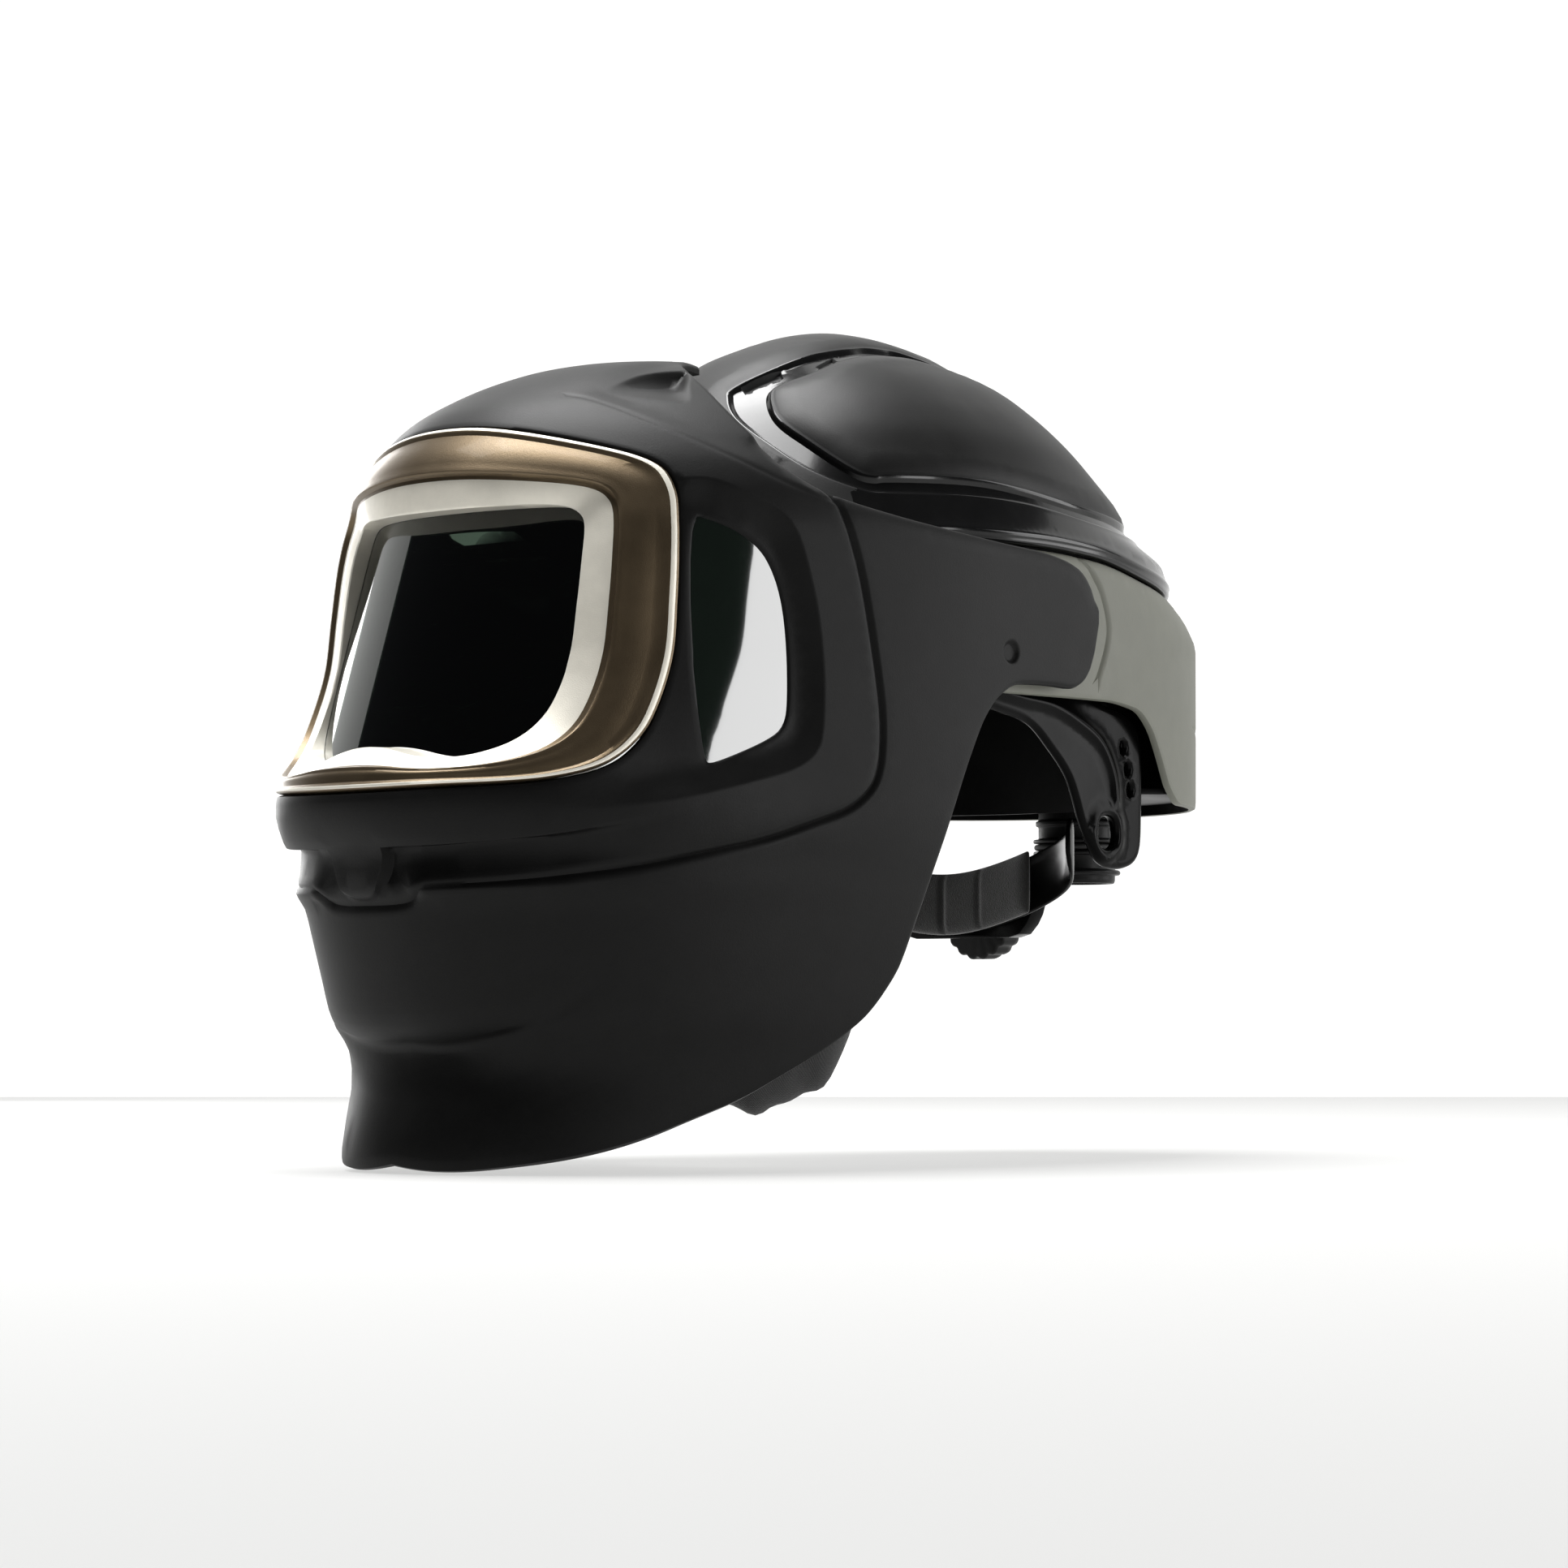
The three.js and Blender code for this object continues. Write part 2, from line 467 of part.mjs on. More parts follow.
// hose spigot with two ribs, and its seal
{
  const pr = [[SPIGOT_BORE, -38], [SPIGOT_BORE + 1.8, -38], [SPIGOT_BORE + 1.8, -46.9], [SPIGOT_R, -46.9], [SPIGOT_R, -55.8], [SPIGOT_RIB_R, -56.6], [SPIGOT_RIB_R, -59.4], [SPIGOT_R, -60.2],
    [SPIGOT_R, -66.2], [SPIGOT_RIB_R, -67], [SPIGOT_RIB_R, -69.8], [SPIGOT_R, -70.6], [SPIGOT_R - 0.6, -78], [SPIGOT_BORE, -78], [SPIGOT_BORE, -38]];
  const g = new THREE.LatheGeometry(pr.map(p => new THREE.Vector2(p[0], p[1])), 20);
  g.rotateX(Math.PI / 2); g.translate(0, SPIGOT_Y, 0);
  add('hose_spigot', outward(clean(g)), 0x111111, 0.4);
  const sr = [[SPIGOT_R + 0.35, -62], [SPIGOT_R + 1.7, -62.2], [SPIGOT_R + 1.7, -64.4], [SPIGOT_R + 0.35, -64.6], [SPIGOT_R + 0.35, -62]];
  const q = new THREE.LatheGeometry(sr.map(p => new THREE.Vector2(p[0], p[1])), 20);
  q.rotateX(Math.PI / 2); q.translate(0, SPIGOT_Y, 0);
  add('spigot_seal', outward(clean(q)), 0x0a0a0a, 0.8);
}

// --------------------------------------------------------------- clear visor
const visorHalf = table([[-190, 84], [-165, 88], [-147, 92], [-120, 97], [-90, 101], [-60, 104.5], [-30, VISOR_OUT], [60, VISOR_OUT]]);
const visorFront = table([[-190, 150], [-165, 156], [-150, 159], [-130, 161], [-100, 160], [-60, 154], [-36, 148], [0, 138], [20, 131], [40, 120], [50, 112], [60, 100]]);
const visorSurf = section(visorHalf, visorFront, () => 1e6, 0, 70);
const visorLow = table([[0, -46.5], [20, -48.5], [40, -51.5], [50, -51], [58, -47], [64, -41], [70, -32], [76, -22], [82, -12], [88, -5.5], [95, -3.4], [101, -3], [105, -1.6], [107.5, 1.2], [108.6, 5]]);
const visorHigh = table([[0, 21], [30, 22.5], [50, 22.5], [62, 19.5], [75, 16.5], [90, 14.5], [98, 13.2], [103, 11.6], [106, 9.8], [107.5, 8.2], [108.6, 5.6]]);
const alphaVisor = [0, 11, 22, 33, 44, 54, 63, 71, 79, 87, 96, 103, 107.8];
const visorAll = [...alphaVisor.slice(1).reverse().map(v => -v), ...alphaVisor];
const lensOutline = round([[-78, 26], [-80, -20], [-74, -58], [-44, -70], [0, -74], [44, -70], [74, -58], [80, -20], [78, 26], [40, 31], [-40, 31]], 8, 2);
{
  let s = solid(slab(patch(visorSurf, O, visorAll, visorLow, visorHigh, 10, 0), patch(visorSurf, O, visorAll, visorLow, visorHigh, 10, -VISOR_T)));
  s = s.subtract(solid(prismY(lensOutline, -200, -20)));
  for (const k of [1, -1]) s = s.subtract(solid(rodX(8.4, k > 0 ? 100 : -112, k > 0 ? 112 : -100, PIVOT_Y, PIVOT_Z)));
  add('visor_frame', toGeometry(main(s)), 0x161616, 0.5);
  const al = spread(62, 7);
  const l = solid(slab(patch(visorSurf, O, al, () => -42, () => 24, 5, -0.3), patch(visorSurf, O, al, () => -42, () => 24, 5, -1.7)));
  add('visor_lens', toGeometry(main(l.intersect(solid(prismY(grow(lensOutline, -0.6, 0, -20), -200, -20))))), 0xc8d2d2, 0.05, 0, 0.25);
}

// ----------------------------------------------------- hinge pins and washers
for (const [side, k] of [['left', 1], ['right', -1]]) {
  // stepped pin: head inside the cover, journal for the visor, nose for the shield
  const pr = [[0, 92], [9.5, 92], [9.5, 95.6], [6, 95.6], [6, 104.3], [8.1, 104.3], [8.1, 108.1], [5.1, 108.1], [5.1, 110.9], [0, 110.9]];
  const g = new THREE.LatheGeometry(pr.map(p => new THREE.Vector2(p[0], p[1])), 16);
  g.rotateZ(-Math.PI / 2);     // local +Y -> +X
  if (k < 0) g.rotateZ(Math.PI);
  g.translate(0, PIVOT_Y, PIVOT_Z);
  add('hinge_pin_' + side, outward(clean(g)), 0x3a3a3a, 0.35, 0.6);
  const wr = [[8.6, 107.8], [15, 107.8], [15, 109.5], [8.6, 109.5], [8.6, 107.8]];
  const w = new THREE.LatheGeometry(wr.map(p => new THREE.Vector2(p[0], p[1])), 16);
  w.rotateZ(-Math.PI / 2); if (k < 0) w.rotateZ(Math.PI);
  w.translate(0, PIVOT_Y, PIVOT_Z);
  add('friction_washer_' + side, outward(clean(w)), 0x2a2a2a, 0.7);
  const nr = [[7.3, 96], [10.8, 96], [10.8, 100.9], [7.3, 100.9], [7.3, 96]];
  const q = new THREE.LatheGeometry(nr.map(p => new THREE.Vector2(p[0], p[1])), 6);
  q.rotateZ(-Math.PI / 2); if (k < 0) q.rotateZ(Math.PI);
  q.translate(0, PIVOT_Y, PIVOT_Z);
  add('hinge_nut_' + side, outward(clean(q)), 0x55565a, 0.4, 0.8);
}

// ------------------------------------------------------------ head suspension
const armOutline = [[-6, -4], [20, -6], [48, -6], [76, -13.5], [93, -17], [102, -22], [105, -34], [105, -52], [103, -70], [92, -76], [76, -74], [66, -62], [60, -50], [55, -42], [45, -33.5], [30, -24], [8, -20], [-6, -17]];
for (const [side, k] of [['left', 1], ['right', -1]]) {
  let s = solid(prismX(round(armOutline, 3, 1), 0, 3.2));
  const slot = solid(prismX(round([[74, -68], [74, -56], [86, -56], [86, -68]], 5, 2), -5, 8));
  s = s.subtract(slot);
  const g = toGeometry(s);
  // leans in towards the nape
  g.translate(0, -60, 0); g.rotateZ(5.3 * D2R); g.translate(90.2, 60, 0);
  add('suspension_arm_' + side, k > 0 ? g : mirrorX(clean(g)), 0x0b0b0b, 0.15);
}
// strap swept along a horizontal curve: half width a, front or rear reach, height and thickness
function strap(curve, height, thick, steps) {
  const grid = d => {
    const rows = [];
    for (const h of [-height / 2, height / 2]) {
      const row = [];
      for (let k = 0; k <= steps; k++) {
        const t = k / steps, p = curve(t), q = curve(Math.min(1, t + 0.005)), r = curve(Math.max(0, t - 0.005));
        const tx = q[0] - r[0], ty = q[1] - r[1], l = Math.hypot(tx, ty);
        row.push([p[0] + ty / l * d, p[1] - tx / l * d, p[2] + h]);
      }
      rows.push(row);
    }
    return rows;
  };
  return slab(grid(0), grid(thick));
}
const arcCurve = (a, f, yc, z0, z1, from, to) => t => {
  const al = (from + (to - from) * t) * D2R;
  const ca = Math.abs(Math.cos(al)), sa = Math.abs(Math.sin(al));
  const r = 1 / Math.pow(Math.pow(sa / a, 2.15) + Math.pow(ca / f, 2.15), 1 / 2.15);
  const u = Math.abs(2 * t - 1);
  return [Math.sin(al) * r, yc - Math.cos(al) * r, z1 + (z0 - z1) * u * u];
};
add('headband', strap(arcCurve(84, 96, 28, 20, 24, -112, 112), 26, 1.8, 24), 0x1c1c1c, 0.5);
add('sweatband', strap(arcCurve(81.4, 93.4, 28, 23.5, 24.2, -62, 62), 30, -5, 16), 0x23221f, 0.95);
add('crown_strap_side', (() => {
  const outer = [], inner = [];
  for (const y of [17, 39]) {
    const a = [], b = [];
    for (let k = 0; k <= 18; k++) {
      const t = Math.PI * k / 18, c = Math.cos(t), q = Math.sin(t);
      a.push([90 * c, y, 22 + 88 * Math.pow(q, 0.9)]);
      b.push([88.2 * c, y, 22 + 86.2 * Math.pow(q, 0.9)]);
    }
    outer.push(a); inner.push(b);
  }
  return slab(outer, inner);
})(), 0x1d1d1d, 0.8);
add('crown_strap_long', (() => {
  const outer = [], inner = [];
  for (const x of [-11, 11]) {
    const a = [], b = [];
    for (let k = 0; k <= 18; k++) {
      const t = Math.PI * k / 18, c = Math.cos(t), q = Math.sin(t);
      const fy = c < 0 ? 101.8 : 108;
      a.push([x, 28 + fy * c, 26 + 80.6 * q]);
      b.push([x, 28 + (fy - 1.8) * c, 26 + 78.8 * q]);
    }
    outer.push(a); inner.push(b);
  }
  return slab(outer, inner);
})(), 0x1d1d1d, 0.8);
const napeCurve = arcCurve(83.6, 42, 58, -66, -88, 97, 263);
add('nape_band', strap(napeCurve, 22, 2, 18), 0x101010, 0.35);
add('nape_pad', strap(arcCurve(80, 37.6, 58, -80, -88, 122, 238), 24, -5, 12), 0x23221f, 0.95);
// ratchet housing, pinion and knob behind the nape band
{
  let h = solid(prismY(round([[-34, -78], [34, -78], [38, -88], [30, -101], [-30, -101], [-38, -88]], 6, 2), 103, 110.6));
  const bore = new THREE.CylinderGeometry(7.4, 7.4, 30, 24); bore.translate(0, 107, -92);
  h = h.subtract(solid(bore));
  add('ratchet_housing', toGeometry(h), 0x101010, 0.3);
  // pinion: eight teeth, on the knob's shaft
  const teeth = [];
  for (let k = 0; k < 32; k++) {
    const r = [6.6, 6.6, 4.9, 4.9][k % 4], t = 2 * Math.PI * (k + (k % 2 ? 0.1 : -0.1)) / 32;
    teeth.push([r * Math.cos(t), -92 + r * Math.sin(t)]);
  }
  add('ratchet_pinion', prismY(teeth, 103.4, 111.2), 0x8a8a86, 0.4);
  const lobes = [];
  for (let k = 0; k < 48; k++) {
    const t = 2 * Math.PI * k / 48, r = KNOB_R - 0.9 + 0.9 * Math.cos(12 * t);
    lobes.push([r * Math.cos(t), -92 + r * Math.sin(t)]);
  }
  const kg = loft(lobes.map(p => [p[0], 111.6, p[1]]), lobes.map(p => [p[0] * 0.9, 123.5, -92 + (p[1] + 92) * 0.9]));
  add('ratchet_knob', kg, 0x0e0e0e, 0.45);
}
// front air deflector, under the brow of the hat
add('air_deflector', strap(arcCurve(91, 106.5, 28, 43, 47, -48, 48), 9, -1.6, 14), 0x171717, 0.6);

// fabric face seal: a flexible gaiter from the visor frame's edge to the jaw
{
  const edge = [], jaw = [];
  const seal = [], sealIn = [];
  const N = 22;
  for (let r = 0; r <= 4; r++) { seal.push([]); sealIn.push([]); }
  for (let k = 0; k <= N; k++) {
    const al = -80 + 160 * k / N, a = Math.abs(al);
    const el = (visorLow(a) + 4.5) * D2R;
    const p = reach(visorSurf, O, al * D2R, el), n = normalAt(visorSurf, O, al * D2R, el);
    const e = [p[0] - n.x * 5.4, p[1] - n.y * 5.4, p[2] - n.z * 5.4];
    const s = Math.sin(al * D2R), c = Math.cos(al * D2R);
    const g = [70 * s, 2 - 76 * c, table([[0, -136], [30, -132], [55, -112], [75, -70], [90, -30]])(a)];
    const sag = table([[0, 12], [25, 20], [40, 36], [52, 40], [62, 26], [75, 7], [90, 1.5]])(a);
    for (let r = 0; r <= 4; r++) {
      const t = r / 4, b = Math.sin(Math.PI * t);
      const q = [e[0] + (g[0] - e[0]) * t, e[1] + (g[1] - e[1]) * t, e[2] + (g[2] - e[2]) * t];
      const out = [s * 0.22 * b * sag, -c * 0.22 * b * sag, -b * sag];
      const m = [q[0] + out[0], q[1] + out[1], q[2] + out[2]];
      seal[r].push(m);
      sealIn[r].push([m[0] - s * 1.2, m[1] + c * 1.2, m[2] + 2.6]);
    }
  }
  add('face_seal', slab(seal, sealIn), 0x101010, 0.95);
}

export default model;
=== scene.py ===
import json
import math

import bpy
import bmesh
import numpy as np
from mathutils import Vector, Matrix
from mathutils.geometry import delaunay_2d_cdt

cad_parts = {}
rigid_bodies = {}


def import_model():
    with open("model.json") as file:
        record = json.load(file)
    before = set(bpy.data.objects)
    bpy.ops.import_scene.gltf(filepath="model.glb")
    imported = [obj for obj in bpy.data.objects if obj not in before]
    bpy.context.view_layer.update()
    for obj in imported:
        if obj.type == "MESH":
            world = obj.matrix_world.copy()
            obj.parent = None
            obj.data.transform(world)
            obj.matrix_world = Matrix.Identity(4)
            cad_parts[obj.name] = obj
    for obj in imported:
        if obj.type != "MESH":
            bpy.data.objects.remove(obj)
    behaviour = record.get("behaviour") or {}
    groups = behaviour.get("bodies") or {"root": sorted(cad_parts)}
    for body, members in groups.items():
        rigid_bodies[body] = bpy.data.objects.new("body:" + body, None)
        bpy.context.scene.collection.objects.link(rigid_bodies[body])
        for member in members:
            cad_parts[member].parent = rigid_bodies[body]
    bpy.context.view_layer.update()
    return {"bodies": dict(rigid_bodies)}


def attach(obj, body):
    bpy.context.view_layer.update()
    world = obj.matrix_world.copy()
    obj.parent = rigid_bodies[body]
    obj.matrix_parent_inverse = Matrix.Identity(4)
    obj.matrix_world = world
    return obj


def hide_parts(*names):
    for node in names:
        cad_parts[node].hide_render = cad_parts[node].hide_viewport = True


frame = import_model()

D2R = math.pi / 180.0


# ------------------------------------------------------------ surface tables
def table(rows):
    x = np.array([r[0] for r in rows], float)
    y = np.array([r[1] for r in rows], float)
    h = np.diff(x)
    d = np.diff(y) / h
    m = np.zeros(len(x))
    m[0], m[-1] = d[0], d[-1]
    for i in range(1, len(x) - 1):
        m[i] = 0 if d[i - 1] * d[i] <= 0 else 2 * d[i - 1] * d[i] / (d[i - 1] + d[i])

    def f(v):
        v = np.clip(np.asarray(v, float), x[0], x[-1])
        i = np.clip(np.searchsorted(x, v, side="right") - 1, 0, len(x) - 2)
        hh = h[i]
        t = (v - x[i]) / hh
        t2 = t * t
        t3 = t2 * t
        return (2 * t3 - 3 * t2 + 1) * y[i] + (t3 - 2 * t2 + t) * hh * m[i] + (-2 * t3 + 3 * t2) * y[i + 1] + (t3 - t2) * hh * m[i + 1]
    return f


def section(a, f, b, yc, ztop, n=2.3):
    def F(x, y, z):
        A = np.maximum(a(z), 1e-6)
        L = np.maximum(np.where(y < yc, f(z), b(z)), 1e-6)
        return np.where(z >= ztop, 1.0, (np.abs(x) / A) ** n + (np.abs(y - yc) / L) ** n - 1)
    return F


def reach(surf, c, al, el):
    al = np.asarray(al, float)
    el = np.asarray(el, float)
    dx = np.sin(al) * np.cos(el)
    dy = -np.cos(al) * np.cos(el)
    dz = np.sin(el)
    lo = np.zeros_like(dx)
    hi = np.full_like(dx, 420.0)
    for _ in range(36):
        m = (lo + hi) / 2
        ins = surf(c[0] + dx * m, c[1] + dy * m, c[2] + dz * m) < 0
        lo = np.where(ins, m, lo)
        hi = np.where(ins, hi, m)
    return np.stack([c[0] + dx * lo, c[1] + dy * lo, c[2] + dz * lo], -1)


def unit(v):
    return v / np.maximum(np.linalg.norm(v, axis=-1, keepdims=True), 1e-12)


def normals(surf, c, al, el, e=0.012):
    a0, a1 = reach(surf, c, al - e, el), reach(surf, c, al + e, el)
    b0, b1 = reach(surf, c, al, el - e), reach(surf, c, al, el + e)
    n = np.cross(a1 - a0, b1 - b0)
    top = el > 1.54
    n[top] = (0, 0, 1)
    return unit(n)


def elevation_at(surf, c, al, z):
    al = np.asarray(al, float)
    lo = np.full_like(al, -1.5)
    hi = np.full_like(al, 1.57)
    for _ in range(26):
        m = (lo + hi) / 2
        low = reach(surf, c, al, m)[..., 2] < z
        lo = np.where(low, m, lo)
        hi = np.where(low, hi, m)
    return (lo + hi) / 2


BIG = lambda z: np.full_like(np.asarray(z, float), 1e6)
O = (0.0, 0.0, 0.0)
HC = (0.0, 28.0, 10.0)
shieldHalf = table([[-190, 92], [-176, 94], [-160, 99], [-147, 102.3], [-120, 106.5], [-90, 110], [-60, 112.5], [-30, 113], [38, 113], [50, 111], [60, 106],
                    [70, 97.5], [80, 86.5], [90, 74], [98, 61.5], [104, 48], [108, 33], [110, 16], [111, 0]])
shieldFront = table([[-190, 197], [-182, 199.5], [-174, 198], [-164, 194], [-153, 190.5], [-147, 190.5], [-141, 193.5], [-135, 199], [-117, 204.5], [-105, 208],
                     [-94, 211.5], [-88, 216], [-78, 216.5], [-70, 222], [-60, 225.5], [-47, 222], [-30, 214], [-5, 203], [12, 200], [30, 196], [48, 189],
                     [61, 183.5], [72, 177], [80, 169], [90, 151.5], [98, 132], [104, 110], [108, 76], [110, 34], [111, 0]])
shieldSurf = section(shieldHalf, shieldFront, BIG, 0, 111)
shieldLow = table([[0, -42.8], [12, -44.2], [28.7, -47.8], [40, -49], [48, -48.9], [56, -48], [63, -45], [67, -40], [71.4, -33], [75, -26.5], [79.3, -18.4],
                   [83.4, -11.8], [87.2, -8.2], [92.8, -5.8], [101.7, -5.5], [107, -5.6], [110, -4.4], [112.3, -1.5], [114, 4], [114.6, 7.5]])
shieldHigh = table([[0, 65], [6, 64.4], [10, 61], [15, 53.8], [20, 48.5], [29, 39.5], [38, 30], [44, 24.7], [52, 21.4], [61.9, 20.8], [76.8, 20.3], [91, 19.4],
                    [100, 18.5], [106, 17.2], [110, 15.6], [112.3, 13.6], [114, 10.6], [114.6, 8.2]])
hatHalf = table([[20, 102.5], [44, 101.5], [54, 97], [64, 92], [73, 86.5], [82.5, 80.5], [92, 72], [100, 63], [107, 53.5], [114, 41.5], [120, 30], [125, 19], [128, 9], [129, 0]])
hatFront = table([[20, 117], [38, 114.5], [50, 111], [60, 107], [70, 101.5], [80, 95], [90, 87], [100, 76.5], [108, 66], [115, 54], [121, 39.5], [125, 28.5], [128, 14], [129, 0]])
hatRear = table([[20, 150], [30, 150.5], [42, 146], [46, 139], [50, 129], [54, 126.5], [64, 116], [73, 107], [82.5, 97], [92, 87.5], [100, 79], [106, 72], [114, 58.5],
                 [120, 44.5], [125, 28.5], [128, 14], [129, 0]])
hatSurf = section(hatHalf, hatFront, hatRear, 28, 129)
hatLow = table([[0, 38], [50, 38], [60, 40.8], [68, 41.4], [90, 41.4], [110, 40], [130, 35], [145, 32.2], [160, 30.8], [180, 29.8]])
coverHalf = table([[-60, 103.6], [10, 104], [30, 103.7], [41, 103.2]])
coverRear = table([[-60, 166], [-46, 169.5], [12, 169.5], [20, 163.5], [29, 152.5], [41, 147]])
coverSurf = section(coverHalf, BIG, coverRear, 28, 60)
coverLow = table([[60, -14], [90, -14], [112, -14], [122, -16], [127, -22], [131, -33], [135, -45], [140, -50.5], [180, -51]])
coverHigh = table([[60, 40.6], [90, 40.4], [110, 39], [130, 34], [145, 31.2], [160, 29.8], [180, 28.8]])
visorHalf = table([[-190, 84], [-165, 88], [-147, 92], [-120, 97], [-90, 101], [-60, 104.5], [-30, 107.4], [60, 107.4]])
visorFront = table([[-190, 150], [-165, 156], [-150, 159], [-130, 161], [-100, 160], [-60, 154], [-36, 148], [0, 138], [20, 131], [40, 120], [50, 112], [60, 100]])
visorSurf = section(visorHalf, visorFront, BIG, 0, 70)
visorLow = table([[0, -46.5], [20, -48.5], [40, -51.5], [50, -51], [58, -47], [64, -41], [70, -32], [76, -22], [82, -12], [88, -5.5], [95, -3.4], [101, -3], [105, -1.6], [107.5, 1.2], [108.6, 5]])
visorHigh = table([[0, 21], [30, 22.5], [50, 22.5], [62, 19.5], [75, 16.5], [90, 14.5], [98, 13.2], [103, 11.6], [106, 9.8], [107.5, 8.2], [108.6, 5.6]])


def both(half):
    return half + [[-p[0], p[1]] for p in half[1:-1][::-1]]


frameOutline = both([[0, 75], [20, 74], [40, 70.5], [60, 65.5], [72, 61.3], [78.5, 56], [83, 46], [85.2, 30], [86, 0], [85.7, -25], [84, -38], [79.5, -47], [71, -51.5],
                     [60, -53.5], [40, -54.5], [20, -55.3], [0, -55.5]])
apertureOutline = both([[0, 47.5], [30, 47.5], [54, 47.2], [61, 44.5], [64, 38], [65, 20], [65, 0], [64.5, -20], [62.5, -30], [57, -37], [48, -41], [38, -42.3],
                        [26, -41.5], [12, -37.8], [0, -36.6]])
sideWindow = [[-139, 43], [-128, 39.5], [-118, 34], [-111, 27], [-106, 14], [-104, -4], [-104.5, -22], [-106, -30], [-111, -35], [-133, -44], [-139, -45]]
lensOutline = [[-78, 26], [-80, -20], [-74, -58], [-44, -70], [0, -74], [44, -70], [74, -58], [80, -20], [78, 26], [40, 31], [-40, 31]]


# ------------------------------------------------------------ outline helpers
def chaikin(pts, n=2, closed=True):
    p = np.array(pts, float)
    for _ in range(n):
        if closed:
            q = np.roll(p, -1, 0)
            a, b = p * 0.75 + q * 0.25, p * 0.25 + q * 0.75
            p = np.stack([a, b], 1).reshape(-1, p.shape[1])
        else:
            a, b = p[:-1] * 0.75 + p[1:] * 0.25, p[:-1] * 0.25 + p[1:] * 0.75
            p = np.vstack([p[:1], np.stack([a, b], 1).reshape(-1, p.shape[1]), p[-1:]])
    return p


def smooth_line(pts, closed=False, per=8):
    """Catmull-Rom through the points, so it stays on them."""
    p = np.array(pts, float)
    n = len(p)
    out = []
    segs = n if closed else n - 1
    for i in range(segs):
        if closed:
            a, b, c, d = p[(i - 1) % n], p[i], p[(i + 1) % n], p[(i + 2) % n]
        else:
            a, b, c, d = p[max(i - 1, 0)], p[i], p[i + 1], p[min(i + 2, n - 1)]
        for t in np.arange(per) / per:
            out.append(0.5 * ((2 * b) + (-a + c) * t + (2 * a - 5 * b + 4 * c - d) * t * t + (-a + 3 * b - 3 * c + d) * t ** 3))
    if not closed:
        out.append(p[-1])
    return np.array(out)


def resample(pts, step, closed):
    p = np.array(pts, float)
    if closed:
        p = np.vstack([p, p[:1]])
    seg = np.linalg.norm(np.diff(p, axis=0), axis=1)
    s = np.concatenate([[0], np.cumsum(seg)])
    n = max(int(round(s[-1] / step)), 3)
    t = np.linspace(0, s[-1], n + 1)
    out = np.stack([np.interp(t, s, p[:, k]) for k in range(p.shape[1])], 1)
    return out[:-1] if closed else out


def inside(poly, pts):
    poly = np.asarray(poly, float)
    x, y = pts[:, 0], pts[:, 1]
    res = np.zeros(len(pts), bool)
    n = len(poly)
    for i in range(n):
        x0, y0 = poly[i]
        x1, y1 = poly[(i + 1) % n]
        if y0 == y1:
            continue
        m = (y0 > y) != (y1 > y)
        res ^= m & (x < (x1 - x0) * (y - y0) / (y1 - y0) + x0)
    return res


def dist(line, pts, closed=False):
    """distance of points from a polyline, in any number of dimensions"""
    line = np.asarray(line, float)
    n = len(line)
    best = np.full(len(pts), 1e9)
    for i in range(n if closed else n - 1):
        a, b = line[i], line[(i + 1) % n]
        ab = b - a
        l2 = float(ab @ ab)
        if l2 < 1e-12:
            continue
        t = np.clip(((pts - a) @ ab) / l2, 0, 1)
        d = np.linalg.norm(pts - (a + t[:, None] * ab), axis=1)
        best = np.minimum(best, d)
    return best


def sstep(x, a, b):
    t = np.clip((x - a) / (b - a), 0, 1)
    return t * t * (3 - 2 * t)


